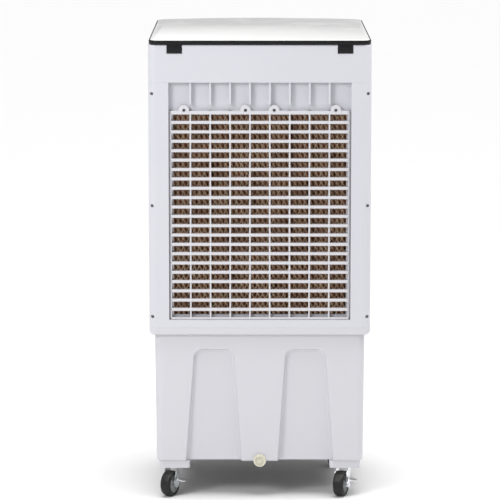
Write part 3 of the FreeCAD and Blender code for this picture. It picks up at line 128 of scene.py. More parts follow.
def barX(section, x0, x1, y, z):
    # the section's first number runs along Y and its second along Z
    pts = np.zeros((2, len(section), 3))
    pts[..., 0] = np.array([x0, x1])[:, None]
    pts[..., 1] = y + section[:, 0]
    pts[..., 2] = z + section[:, 1]
    return tube(pts)


def barZ(section, z0, z1, x, y):
    # the section's first number runs along X and its second along Y
    pts = np.zeros((2, len(section), 3))
    pts[..., 0] = x + section[:, 0]
    pts[..., 1] = y + section[:, 1]
    pts[..., 2] = np.array([z0, z1])[:, None]
    return tube(pts)


def newGroup(name, inputs):
    # a shader group: a default of four numbers makes a colour socket and a single number makes a value socket
    group = bpy.data.node_groups.new(name, "ShaderNodeTree")
    for label, default in inputs.items():
        kind = "NodeSocketColor" if isinstance(default, tuple) else "NodeSocketFloat"
        group.interface.new_socket(name=label, in_out="INPUT", socket_type=kind).default_value = default
    group.interface.new_socket(name="Color", in_out="OUTPUT", socket_type="NodeSocketColor")
    group.interface.new_socket(name="Roughness", in_out="OUTPUT", socket_type="NodeSocketFloat")
    group.interface.new_socket(name="Height", in_out="OUTPUT", socket_type="NodeSocketFloat")
    return group, group.nodes.new("NodeGroupInput").outputs


def closeGroup(group, color, rough, height):
    # the three results go out under the names that every material asks for
    end = group.nodes.new("NodeGroupOutput").inputs
    group.links.new(color, end["Color"])
    group.links.new(rough, end["Roughness"])
    group.links.new(height, end["Height"])
    return group


def addNode(tree, kind, links=(), **values):
    # values set node properties; links are (input name or index, source socket or value)
    node = tree.nodes.new(kind)
    for key, value in values.items():
        setattr(node, key, value)
    for target, source in links:
        if isinstance(source, bpy.types.NodeSocket):
            tree.links.new(source, node.inputs[target])
        else:
            node.inputs[target].default_value = source
    return node


def mathNode(tree, operation, a, b, clamp=False):
    # a and b are numbers or sockets; clamp holds the result between 0 and 1
    return addNode(tree, "ShaderNodeMath", [(0, a), (1, b)], operation=operation, use_clamp=clamp).outputs[0]


def mixColor(tree, factor, a, b, blend="MIX"):
    # a where factor is 0, b where it is 1; MULTIPLY gives a times b
    node = addNode(tree, "ShaderNodeMix", [(0, factor), (6, a), (7, b)], data_type="RGBA", blend_type=blend)
    return node.outputs[2]


def noiseOf(tree, vector, scale, detail=3.0, roughness=0.55):
    # cloudy value about 0.5; scale is waves per metre
    sockets = [("Vector", vector), ("Scale", scale), ("Detail", detail), ("Roughness", roughness)]
    return addNode(tree, "ShaderNodeTexNoise", sockets).outputs[0]


def maskOf(tree, value, low, high):
    # black below low, white above high and a straight rise between them
    node = addNode(tree, "ShaderNodeValToRGB", [(0, value)])
    first, last = node.color_ramp.elements
    first.position, last.position = low, high
    first.color, last.color = (0, 0, 0, 1), (1, 1, 1, 1)
    return node.outputs[0]


def objectVector(tree):
    # place on the piece in metres, in its own unturned frame
    return tree.nodes.new("ShaderNodeTexCoord").outputs["Object"]


def axisPart(tree, vector, index):
    # one of the three numbers of a vector
    return addNode(tree, "ShaderNodeSeparateXYZ", [(0, vector)]).outputs[index]


def stretch(tree, vector, scale):
    # vector times scale, axis by axis
    return addNode(tree, "ShaderNodeMapping", [("Vector", vector), ("Scale", scale)]).outputs[0]


mouldedValues = {
    "waveScale": 9.0, "waveGain": 12.0, "driftScale": 4.0, "shadeFrom": 0.42, "smudgeScale": 34.0,
    "dustColor": (0.42, 0.40, 0.37, 1), "dustRoughness": 0.5,
    # painted shade on surfaces that face down: where it starts, how fast it grows and its colour
    "undersideShadeFrom": 0.7, "undersideShadeGain": 3.3, "undersideShadeColor": (0.10, 0.095, 0.09, 1),
}


def buildMouldedGroup(v):
    # moulded plastic: fine spark-eroded grain, slow unevenness of the sheet, dust on top, and painted shade
    # that darkens surfaces facing down
    group, given = newGroup("mouldedSurface", {
        "Color": (0.8, 0.8, 0.8, 1), "Shade Color": (0.7, 0.7, 0.7, 1), "Grain Scale": 1800.0,
        "Grain Height": 0.35, "Wave Height": 0.3, "Roughness": 0.35, "Roughness Spread": 0.1, "Dust": 0.15,
        "Underside Shade": 0.5})
    where = objectVector(group)
    grain = noiseOf(group, where, given["Grain Scale"], 2.0)
    wave = noiseOf(group, where, v["waveScale"], 2.0, 0.4)
    drift = noiseOf(group, where, v["driftScale"])
    smudge = noiseOf(group, where, v["smudgeScale"], 5.0, 0.65)
    shade = mathNode(group, "SUBTRACT", drift, v["shadeFrom"], True)
    color = mixColor(group, shade, given["Color"], given["Shade Color"])
    # dust = upward tilt * smudge * amount, painted shade underneath = (downward tilt - from) * gain * amount
    normalZ = axisPart(group, group.nodes.new("ShaderNodeNewGeometry").outputs["Normal"], 2)
    upward = mathNode(group, "MULTIPLY", mathNode(group, "MAXIMUM", normalZ, 0.0), smudge)
    dust = mathNode(group, "MULTIPLY", upward, given["Dust"], True)
    color = mixColor(group, dust, color, v["dustColor"])
    # painted shade: the more a surface faces down, the darker it is painted
    under = mathNode(group, "SUBTRACT", mathNode(group, "MULTIPLY", normalZ, -1.0), v["undersideShadeFrom"])
    under = mathNode(group, "MULTIPLY", under, v["undersideShadeGain"], True)
    undersideShade = mathNode(group, "MULTIPLY", under, given["Underside Shade"], True)
    color = mixColor(group, undersideShade, color, v["undersideShadeColor"])
    # roughness = base + (smudge - 0.5) * spread + dust * its share
    spread = mathNode(group, "MULTIPLY", mathNode(group, "SUBTRACT", smudge, 0.5), given["Roughness Spread"])
    rough = mathNode(group, "ADD", given["Roughness"], spread, True)
    rough = mathNode(group, "ADD", rough, mathNode(group, "MULTIPLY", dust, v["dustRoughness"]), True)
    fine = mathNode(group, "MULTIPLY", grain, given["Grain Height"])
    slow = mathNode(group, "MULTIPLY", wave, given["Wave Height"])
    height = mathNode(group, "ADD", fine, mathNode(group, "MULTIPLY", slow, v["waveGain"]))
    return closeGroup(group, color, rough, height)


metalValues = {
    "streakStretch": (1.0, 1.0, 14.0), "streakScale": 420.0, "stainScale": 90.0, "stainFrom": 0.48,
    "stainTo": 0.72, "darkest": 0.86, "patchContrast": 0.28, "patchRoughness": 0.12, "stainRoughness": 0.4,
}


def buildMetalGroup(v):
    # plated metal: streaks drawn out along Z, crystal patches, stains
    group, given = newGroup("platedMetal", {
        "Color": (0.7, 0.7, 0.7, 1), "Stain Color": (0.35, 0.33, 0.3, 1), "Patch Scale": 160.0,
        "Streak Height": 0.4, "Roughness": 0.28, "Stain": 0.35})
    where = objectVector(group)
    streak = noiseOf(group, stretch(group, where, v["streakStretch"]), v["streakScale"])
    cells = addNode(group, "ShaderNodeTexVoronoi", [("Vector", where), ("Scale", given["Patch Scale"])],
                    feature="F1")
    patch = addNode(group, "ShaderNodeSeparateColor", [(0, cells.outputs["Color"])]).outputs[0]
    cloud = noiseOf(group, where, v["stainScale"], 5.0, 0.7)
    stain = mathNode(group, "MULTIPLY", maskOf(group, cloud, v["stainFrom"], v["stainTo"]), given["Stain"])
    # each patch's brightness = darkest + its random number * contrast
    tint = mathNode(group, "ADD", v["darkest"], mathNode(group, "MULTIPLY", patch, v["patchContrast"]))
    bright = mixColor(group, 1.0, given["Color"], tint, "MULTIPLY")
    color = mixColor(group, stain, bright, given["Stain Color"])
    dull = mathNode(group, "MULTIPLY", patch, v["patchRoughness"])
    rough = mathNode(group, "ADD", given["Roughness"], dull)
    rough = mathNode(group, "ADD", rough, mathNode(group, "MULTIPLY", stain, v["stainRoughness"]), True)
    height = mathNode(group, "MULTIPLY", streak, given["Streak Height"])
    return closeGroup(group, color, rough, height)


glazeValues = {
    "smudgeScale": 14.0, "smudgeFrom": 0.46, "smudgeTo": 0.75, "smudgeRoughness": 0.5, "waveScale": 3.0,
}


def buildGlazeGroup(v):
    # polished sheet: finger smudges, which are also rougher, and very slow waviness
    group, given = newGroup("glazedSurface", {
        "Color": (0.9, 0.9, 0.9, 1), "Smudge Color": (0.8, 0.8, 0.8, 1), "Roughness": 0.05, "Smudge": 0.2})
    where = objectVector(group)
    smudge = maskOf(group, noiseOf(group, where, v["smudgeScale"], 6.0, 0.68), v["smudgeFrom"], v["smudgeTo"])
    amount = mathNode(group, "MULTIPLY", smudge, given["Smudge"])
    color = mixColor(group, amount, given["Color"], given["Smudge Color"])
    dull = mathNode(group, "MULTIPLY", amount, v["smudgeRoughness"])
    rough = mathNode(group, "ADD", given["Roughness"], dull, True)
    return closeGroup(group, color, rough, noiseOf(group, where, v["waveScale"], 1.0))


mouldedGroup = buildMouldedGroup(mouldedValues)
metalGroup = buildMetalGroup(metalValues)
glazeGroup = buildGlazeGroup(glazeValues)
bumpDepths = {"moulded": 0.06 * mm, "metal": 0.05 * mm, "glaze": 0.2 * mm, "paper": 0.1 * mm}
bevelSamples = 6


def surfaceMaterial(name, group, groupValues, bumpDepth, shader, soften=0.0):
    # one material: the group's outputs feed a Principled shader whose constants are set on its own sockets;
    # soften is the radius over which sharp edges catch the light as moulded ones do
    material = bpy.data.materials.new(name)
    material.use_nodes = True
    tree = material.node_tree
    tree.nodes.clear()
    surface = addNode(tree, "ShaderNodeGroup")
    surface.node_tree = group
    for key, value in groupValues.items():
        surface.inputs[key].default_value = value
    bump = addNode(tree, "ShaderNodeBump", [("Strength", 1.0), ("Distance", bumpDepth),
                                            ("Height", surface.outputs["Height"])])
    if soften:
        rounded = addNode(tree, "ShaderNodeBevel", [("Radius", soften)], samples=bevelSamples)
        tree.links.new(rounded.outputs[0], bump.inputs["Normal"])
    principled = addNode(tree, "ShaderNodeBsdfPrincipled", [
        ("Base Color", surface.outputs["Color"]), ("Roughness", surface.outputs["Roughness"]),
        ("Normal", bump.outputs[0])])
    for key, value in shader.items():
        principled.inputs[key].default_value = value
    addNode(tree, "ShaderNodeOutputMaterial", [("Surface", principled.outputs[0])])
    return material


def plastic(name, color, shade, grain=1800.0, grainHeight=0.35, wave=0.3, rough=0.35, spread=0.12, dust=0.15,
            undersideShade=0.5, soften=0.0, **shader):
    # any moulded piece; grain is spots per metre; surfaces facing down get painted shade
    values = {"Color": color, "Shade Color": shade, "Grain Scale": grain, "Grain Height": grainHeight,
              "Wave Height": wave, "Roughness": rough, "Roughness Spread": spread, "Dust": dust,
              "Underside Shade": undersideShade}
    return surfaceMaterial(name, mouldedGroup, values, bumpDepths["moulded"], shader, soften)


def metal(name, color, stain, patch=160.0, streak=0.4, rough=0.28, amount=0.35, **shader):
    # any plated piece; patch is crystals per metre
    values = {"Color": color, "Stain Color": stain, "Patch Scale": patch, "Streak Height": streak,
              "Roughness": rough, "Stain": amount}
    return surfaceMaterial(name, metalGroup, values, bumpDepths["metal"], {"Metallic": 1.0, **shader})


def glaze(name, color, smudgeColor, rough=0.05, smudge=0.2, **shader):
    # any polished sheet
    values = {"Color": color, "Smudge Color": smudgeColor, "Roughness": rough, "Smudge": smudge}
    return surfaceMaterial(name, glazeGroup, values, bumpDepths["glaze"], shader)


mats = {
    "housing": plastic("housingWhite", (0.655, 0.655, 0.705, 1), (0.62, 0.62, 0.675, 1), rough=0.36,
                       soften=1.2 * mm, **{"Specular IOR Level": 0.45}),
    # the tank gets stronger painted shade on its underside
    "tank": plastic("tankWhite", (0.65, 0.645, 0.685, 1), (0.615, 0.61, 0.655, 1), rough=0.4, undersideShade=0.85,
                    soften=1.5 * mm),
    "grille": plastic("grilleWhite", (0.665, 0.66, 0.69, 1), (0.63, 0.625, 0.66, 1), grain=2400.0,
                      rough=0.42),
    "lid": glaze("lidGlass", (0.93, 0.935, 0.925, 1), (0.88, 0.885, 0.87, 1), rough=0.12, smudge=0.15,
                 **{"Specular IOR Level": 0.35, "Coat Weight": 0.1, "Coat Roughness": 0.03}),
    "rim": plastic("rimBlack", (0.006, 0.006, 0.007, 1), (0.010, 0.010, 0.011, 1), rough=0.34, dust=0.03,
                   grainHeight=0.2, **{"Specular IOR Level": 0.25}),
    "zinc": metal("zincPlate", (0.86, 0.88, 0.90, 1), (0.50, 0.49, 0.47, 1), rough=0.30, amount=0.25),
    "screw": metal("screwSteel", (0.20, 0.20, 0.22, 1), (0.08, 0.07, 0.07, 1), rough=0.4),
    "tyre": plastic("tyreRubber", (0.006, 0.006, 0.006, 1), (0.014, 0.014, 0.014, 1), grain=900.0,
                    grainHeight=0.8, rough=0.42, dust=0.12, **{"Specular IOR Level": 0.35}),
    "hub": plastic("hubGrey", (0.30, 0.31, 0.32, 1), (0.24, 0.25, 0.26, 1), rough=0.4),
    "motor": plastic("motorPaint", (0.05, 0.055, 0.06, 1), (0.035, 0.04, 0.045, 1), grain=1300.0, rough=0.4),
    "dark": plastic("darkPlastic", (0.028, 0.028, 0.032, 1), (0.045, 0.045, 0.05, 1), rough=0.45),
    "hose": plastic("hoseMilky", (0.62, 0.66, 0.66, 1), (0.55, 0.60, 0.60, 1), rough=0.25),
    "ivory": plastic("plugIvory", (0.72, 0.70, 0.58, 1), (0.64, 0.61, 0.47, 1), rough=0.35,
                     **{"Subsurface Weight": 0.2, "Subsurface Radius": (0.004, 0.003, 0.002)}),
    "clear": glaze("windowClear", (0.75, 0.82, 0.86, 1), (0.6, 0.66, 0.68, 1), smudge=0.3,
                   **{"Transmission Weight": 0.85, "IOR": 1.49}),
    "display": glaze("displayGlass", (0.01, 0.012, 0.015, 1), (0.03, 0.03, 0.035, 1), smudge=0.3),
    "float": plastic("floatRed", (0.55, 0.03, 0.02, 1), (0.45, 0.02, 0.015, 1), rough=0.3),
    "key": plastic("keyGrey", (0.42, 0.43, 0.45, 1), (0.36, 0.37, 0.39, 1), rough=0.35),
    "board": plastic("boardGreen", (0.02, 0.14, 0.06, 1), (0.015, 0.10, 0.045, 1), grain=500.0, rough=0.3),
    "frameGrey": plastic("frameGrey", (0.60, 0.61, 0.65, 1), (0.52, 0.53, 0.58, 1), rough=0.45),
}
print("materials ready:", len(mats))


def paint(key, *names):
    # the CAD nodes that stay get one of the materials
    for name in names:
        node = nodes[name]
        node.data.materials.clear()
        node.data.materials.append(mats[key])


def numbered(stem, count):
    # stem_1 up to stem_count
    return [f"{stem}_{i}" for i in range(1, count + 1)]


paint("housing", "main_housing", "side_panels", "rear_cover", "top_deck")
paint("tank", "water_tank")
paint("grille", "front_bezel", *numbered("louvre", 5))
paint("frameGrey", "pad_frame", "water_distributor", "fan_shroud", "louvre_tie_bar", "vane_link_bar",
      *numbered("swing_vane", 5))
paint("rim", "control_panel", "cord_gland")
paint("zinc", "caster_plates", "caster_screws", "motor_bracket", "motor_shaft", "hinge_pins", "brake_lever_1",
      "brake_lever_2", *numbered("caster_fork", 4))
paint("screw", "cover_screws", "grille_screws")
paint("motor", "fan_motor", "swing_motor")
paint("dark", "fan_rotor", "spinner_nut", "water_pump", "pump_filter")
paint("hose", "riser_hose")
paint("ivory", "drain_plug", "drain_fitting")
paint("clear", "level_window")
paint("display", "display_window")
paint("float", "level_float")
paint("key", *numbered("panel_key", 3))
paint("board", "control_board")
print("carried nodes painted")


grilleValues = {
    "rows": 22, "columns": 9,
    "slotHeight": 13.2 * mm, "slotPitch": 19.11 * mm,
    "topBar": 7.3 * mm, "ribWidth": 3.4 * mm, "borderWidth": 2.0 * mm,
    "edgeRound": 1.0 * mm, "ribSetBack": 0.8 * mm,
    "borderRound": 0.7 * mm, "flangeWidth": 5.0 * mm, "flangeThick": 5.0 * mm, "flangeOut": 2.9 * mm,
    "flangeRound": 0.6 * mm,
    "tabPlaces": (-0.152, -0.0287, 0.0287, 0.152), "tabRadius": 10.5 * mm, "tabRise": 1.3 * mm,
    "tabProud": 0.1 * mm, "tabSeat": 3.0 * mm, "tabLap": 1.5 * mm, "tabTurns": 72, "tabEdgeSteps": 4,
    "screwHole": 2.1 * mm, "headHole": 3.3 * mm, "holeBevel": 0.3 * mm,
}


def makeGrille(v):
    # ribs and blades are rounded bars: the blades' section is carried along X and the ribs' along Z
    low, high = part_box("rear_grille")
    back, depth = low.y, high.y - low.y
    midY = (low.y + high.y) / 2
    screwLow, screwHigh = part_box("grille_screws")
    bodyTop = (screwLow.z + screwHigh.z) / 2 - v["tabRise"]
    parts = []
    for row in range(v["rows"] + 1):
        top = bodyTop - v["topBar"] - (row - 1) * v["slotPitch"] - v["slotHeight"] if row else bodyTop
        bottom = top - (v["slotPitch"] - v["slotHeight"]) if row else bodyTop - v["topBar"]
        if row == v["rows"]:
            bottom = low.z
        section = roundedSection(depth, top - bottom, v["edgeRound"])
        ends = [low.x, high.x]
        if row == 0:      # the top bar stops inside each tab plate, which carries the screw
            stop = v["tabRadius"] - v["tabLap"]
            ends = np.sort(ends + [x + side * stop for x in v["tabPlaces"] for side in (-1, 1)])
        for x0, x1 in zip(ends[::2], ends[1::2]):
            parts.append(barX(section, x0, x1, midY, (top + bottom) / 2))
    inner = high.x - v["borderWidth"]
    pitch = (2 * inner + v["ribWidth"]) / v["columns"]
    rib = roundedSection(v["ribWidth"], depth - v["ribSetBack"], v["edgeRound"])
    for column in range(1, v["columns"]):
        x = -inner + column * pitch - v["ribWidth"] / 2
        parts.append(barZ(rib, low.z, bodyTop, x, midY - v["ribSetBack"] / 2))
    border = roundedSection(v["borderWidth"], depth, v["borderRound"])
    flange = roundedSection(v["flangeWidth"], v["flangeThick"], v["flangeRound"])
    for side in (-1, 1):
        parts.append(barZ(border, low.z, bodyTop, side * (high.x - v["borderWidth"] / 2), midY))
        parts.append(barZ(flange, low.z, bodyTop, side * (high.x + v["flangeOut"] - v["flangeWidth"] / 2),
                          back + v["flangeThick"] / 2))
    for x in v["tabPlaces"]:
        parts.append(makeTab(v, x, back, depth, bodyTop))
    return merge(parts)


def makeTab(v, x, back, depth, bodyTop):
    # a plate about its screw, as a section (reach, height) swept round it: above the bar the reach is the
    # tab's radius, and below it is the nearer of the stretch's end / |cos| and the bar's underside / -sin
    rise, radius, turns = v["tabRise"], v["tabRadius"], v["tabTurns"]
    turn = np.linspace(0, 2 * math.pi, turns, endpoint=False)
    cos, sin = np.cos(turn), np.sin(turn)
    tiny = 1e-6
    end = math.sqrt(radius ** 2 - rise ** 2) / np.maximum(np.abs(cos), tiny)
    under = np.minimum(end, (rise + v["topBar"]) / np.maximum(-sin, tiny))
    outer = np.where(sin > -rise / radius, radius, under)[:, None]
    top, edge, bevel = depth + v["tabProud"], v["edgeRound"], v["holeBevel"]
    arc = np.linspace(0, math.pi / 2, v["tabEdgeSteps"])
    fixed = np.array([[v["screwHole"], 0.0], [v["screwHole"], v["tabSeat"]], [v["headHole"], v["tabSeat"]],
                      [v["headHole"], top - bevel], [v["headHole"] + bevel, top]])
    inside = np.tile(fixed[:, 0], (turns, 1))
    reach = np.concatenate([inside, outer - edge + edge * np.sin(arc), outer], axis=1)
    height = np.concatenate([fixed[:, 1], top - edge + edge * np.cos(arc), [0.0]])
    pts = np.stack([x + reach * cos[:, None], back + height + 0 * reach,
                    bodyTop + rise + reach * sin[:, None]], axis=-1)
    return pts.reshape(-1, 3), gridFaces(turns, len(height), closeRows=True, closeCols=True).tolist()


makePiece("grilleBlades", makeGrille(grilleValues), mats["grille"], "chassis",
          ["rear_grille"])
print("grille made")


padValues = {
    "sheetPitch": 5.3 * mm, "paper": 0.6 * mm, "waveLength": 19.0 * mm, "stepsPerWave": 8,
    "lean": 26.0 * mm, "press": 1.05, "jitter": 0.35, "wander": (20, 40), "seed": 7,
    # the cut edge depth and share also set painted shade deeper behind the face
    "cutEdgeAndShadeDepth": 5.0 * mm, "cutEdgeAndShadeShare": 0.75, "tintScale": (140.0, 12.0, 22.0), "tintShare": 1.5,
    "fibreScale": 1500.0, "fibreShare": 0.5, "dampScale": 26.0, "dampFrom": 0.42, "dampTo": 0.66,
    "dampShare": 0.55, "dryRoughness": 0.9, "dampShine": 0.3,
    "cutColor": (1.0, 0.88, 0.68, 1), "paperColor": (0.78, 0.52, 0.35, 1), "wetColor": (0.40, 0.21, 0.14, 1),
}


def buildPaperGroup(v):
    # soaked corrugated paper: fibres, sheet to sheet tint, damp patches, paler cut edge at the outer face,
    # and painted shade that darkens the paper deeper behind it
    group, given = newGroup("paperFibre", {
        "Cut Color": (0.5, 0.3, 0.2, 1), "Paper Color": (0.2, 0.1, 0.05, 1),
        "Wet Color": (0.05, 0.02, 0.01, 1), "Face Y": 0.16, "Cut Edge And Shade Depth": 0.004})
    where = objectVector(group)
    # edge = 1 - depth behind the face / edge depth: the paler cut edge at the face, with painted shade that
    # darkens the paper deeper in
    behind = mathNode(group, "SUBTRACT", given["Face Y"], axisPart(group, where, 1))
    edge = mathNode(group, "SUBTRACT", 1.0, mathNode(group, "DIVIDE", behind, given["Cut Edge And Shade Depth"]), True)
    tint = noiseOf(group, stretch(group, where, v["tintScale"]), 1.0, 2.0)
    fibre = noiseOf(group, where, v["fibreScale"], 4.0, 0.7)
    damp = maskOf(group, noiseOf(group, where, v["dampScale"], 4.0), v["dampFrom"], v["dampTo"])
    varied = mathNode(group, "MULTIPLY", mathNode(group, "SUBTRACT", tint, 0.5), v["tintShare"])
    amount = mathNode(group, "ADD", mathNode(group, "MULTIPLY", edge, v["cutEdgeAndShadeShare"]), varied, True)
    # the paler cut edge at the face, and painted shade on the paper deeper in
    color = mixColor(group, amount, given["Paper Color"], given["Cut Color"])
    color = mixColor(group, mathNode(group, "MULTIPLY", damp, v["dampShare"]), color, given["Wet Color"])
    # the fibres' brightness swings evenly about 1
    speck = mathNode(group, "MULTIPLY", fibre, v["fibreShare"])
    speck = mathNode(group, "ADD", 1.0 - v["fibreShare"] / 2, speck)
    color = mixColor(group, 1.0, color, speck, "MULTIPLY")
    rough = mathNode(group, "SUBTRACT", v["dryRoughness"], mathNode(group, "MULTIPLY", damp, v["dampShine"]))
    return closeGroup(group, color, rough, fibre)


def makePad(v):
    # each sheet is ruled: its line u runs from (outer face, height u) to (inner face, height u + lean), at
    # x = its place + a * sin(2 pi u / wavelength); the lines are cut off at the pad's top and bottom, and
    # every second sheet has the wave turned over and leans the other way; shares just under 1 keep every
    # line inside
    rng = np.random.default_rng(v["seed"])
    low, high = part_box("cooling_pad")
    count = int((high.x - low.x) / v["sheetPitch"])
    pitch = (high.x - low.x) / count
    amplitude = (pitch - v["paper"]) / 2 * v["press"]
    spanShare, keepShare = 0.995, 0.99
    reach = v["lean"] * spanShare
    u = np.arange(low.z - reach, high.z + reach, v["waveLength"] / v["stepsPerWave"])
    half = v["paper"] / 2
    parts = []
    for i in range(count):
        sign = 1 if i % 2 else -1
        lean = sign * v["lean"]
        line = u[(u > low.z - max(lean, 0) * keepShare) & (u < high.z - min(lean, 0) * keepShare)]
        ends = np.sort(np.stack([(low.z - line) / lean, (high.z - line) / lean]), axis=0).clip(0, 1)
        phase = 2 * np.pi * line / v["waveLength"] + rng.uniform(-1, 1) * v["jitter"]
        phase += v["jitter"] * np.sin(line * rng.uniform(*v["wander"]) + rng.uniform(0, 6))
        x = low.x + pitch * (i + 0.5) + sign * amplitude * np.sin(phase)
        y = high.y - (high.y - low.y) * ends
        z = line + lean * ends
        ring = np.zeros((len(line), 4, 3))
        for k, (end, offset) in enumerate([(1, -half), (1, half), (0, half), (0, -half)]):
            ring[:, k] = np.stack([x + offset, y[end], z[end]], axis=1)
        parts.append(tube(ring))
    return merge(parts)


padMat = surfaceMaterial("padPaper", buildPaperGroup(padValues), {
    "Cut Color": padValues["cutColor"], "Paper Color": padValues["paperColor"],
    "Wet Color": padValues["wetColor"], "Face Y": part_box("cooling_pad")[1].y,
    "Cut Edge And Shade Depth": padValues["cutEdgeAndShadeDepth"]}, bumpDepths["paper"], {"Specular IOR Level": 0.2})
makePiece("padSheets", makePad(padValues), padMat, "chassis", ["cooling_pad"])
print("pad made")


wheelValues = {
    "radius": 26.0 * mm, "width": 22.0 * mm, "bead": 18.4 * mm,
    "shoulder": 4.2 * mm, "crown": 0.7 * mm, "spokes": 5, "dish": 2.6 * mm, "turns": 72,
    "shoulderSteps": 6, "treadSteps": 7,
    "lipStart": 1.2 * mm, "lipEnd": 1.4 * mm, "lipDrop": 0.5 * mm, "beadRise": 0.6 * mm, "beadDrop": 0.1 * mm,
    # the hub from bore to bead: radius, how far below the tyre's side, and how much of the dish it takes
    "hubRadii": (3.3, 6.4, 7.0, 8.2, 12.0, 15.4, 16.4, 18.4),
    "hubDrops": (0.9, 0.9, 1.3, 2.9, 3.3, 2.9, 1.6, 1.3),
    "hubDish": (0, 0, 0, 0.9, 1, 0.9, 0, 0), "windowLevel": 0.5, "windowSlope": 1.6,
}
jointsByName = {j["name"]: j for j in frame["joints"]}


def wheelFrame(i):
    # centre, trailing direction and axle direction of one caster wheel
    joint = jointsByName[f"wheel_{i}_roll"]
    axle = np.array(joint["axis"], float)
    return np.array(joint["pos_m"], float), np.array([axle[1], -axle[0], 0.0]), axle


def spinProfile(radius, across, turns, centre, trail, axle):
    # radius and across may be (turns, n): each turn's ring is a closed loop carried round the axle
    turn = np.linspace(0, 2 * math.pi, turns, endpoint=False)[:, None]
    radius = np.broadcast_to(radius, (turns, radius.shape[-1]))
    across = np.broadcast_to(across, (turns, across.shape[-1]))
    pts = (centre + (radius * np.cos(turn))[..., None] * trail
           + (radius * np.sin(turn))[..., None] * np.array([0, 0, 1.0]) + across[..., None] * axle)
    faces = gridFaces(turns, pts.shape[1], closeRows=True, closeCols=True)
    return pts.reshape(-1, 3), faces.tolist()


def tyreLoop(v):
    # crowned tread, round shoulders, sidewalls with a raised lip, flat bead; the crown drops by
    # crown * (across / half width) squared
    half = v["width"] / 2
    a = np.linspace(0, math.pi / 2, v["shoulderSteps"])
    s = v["shoulder"]
    right = np.stack([v["radius"] - s + s * np.cos(a), half - s + s * np.sin(a)], axis=1)
    across = np.linspace(-1, 1, v["treadSteps"])[1:-1] * (half - s)
    tread = np.stack([v["radius"] + 0 * across, across], axis=1)
    left = right[::-1] * [1, -1]
    low, bead = half - v["lipDrop"], v["bead"]
    lip = np.array([[v["radius"] - s - v["lipStart"], low], [bead + v["lipEnd"], low],
                    [bead + v["beadRise"], half - v["beadDrop"]], [bead, half - v["beadRise"]]])
    loop = np.concatenate([left, tread, right, lip, lip[::-1] * [1, -1]])
    crown = v["crown"] * (loop[:, 1] / half) ** 2
    loop[:, 0] -= np.where(loop[:, 0] > v["radius"] - s, crown, 0)
    return loop


def makeTyre(v, i):
    # the loop is turned so that its faces look outward
    centre, trail, axle = wheelFrame(i)
    loop = tyreLoop(v)[::-1]
    return spinProfile(loop[:, 0], loop[:, 1], v["turns"], centre, trail, axle)


def makeHub(v, i):
    # both faces are dished between the spokes, by dish * share at that radius * (level + slope * cos(spokes *
    # turn)), held between 0 and 1
    centre, trail, axle = wheelFrame(i)
    radii = np.array(v["hubRadii"]) * mm
    height = v["width"] / 2 - np.array(v["hubDrops"]) * mm
    turn = np.linspace(0, 2 * math.pi, v["turns"], endpoint=False)[:, None]
    window = np.clip(v["windowLevel"] + v["windowSlope"] * np.cos(v["spokes"] * turn), 0, 1)
    top = height - v["dish"] * np.array(v["hubDish"]) * window
    radius = np.concatenate([radii, radii[::-1]])
    across = np.concatenate([-top, top[:, ::-1]], axis=1)
    return spinProfile(radius, across, v["turns"], centre, trail, axle)


for i in range(1, 5):
    makePiece(f"tyre{i}", makeTyre(wheelValues, i), mats["tyre"], f"wheel_{i}",
              [f"caster_wheel_{i}"])
    makePiece(f"wheelHub{i}", makeHub(wheelValues, i), mats["hub"], f"wheel_{i}")
print("wheels made")


lidValues = {
    "widen": 2.2 * mm, "rearCorner": 18.0 * mm, "frontCorner": 28.0 * mm, "taper": 10.0 * mm,
    "bow": 26.0 * mm, "perCorner": 14, "frontSteps": 31, "thick": 9.0 * mm,
    "hingePlace": 170.7 * mm, "lugWidth": 30.0 * mm, "lugDepth": 8.0 * mm, "lugRound": 1.5 * mm,
    "lugLap": 2.0 * mm, "lugEdgeShare": 0.6,
    # inset and height in millimetres: from the underside's hollow, round the outside, to the glass's seat
    "rimProfile": ((8.0, 3.0), (8.0, 0.4), (7.6, 0.0), (2.0, 0.0), (0.9, 0.4), (0.2, 1.3), (0.0, 2.4),
                   (0.0, 7.2), (0.2, 7.9), (0.7, 8.4), (1.4, 8.7), (2.1, 8.7), (2.4, 8.3), (2.5, 5.0)),
    "glassProfile": ((2.6, 5.1), (2.6, 8.3), (2.7, 8.65), (3.0, 8.9), (3.4, 9.0)),
}


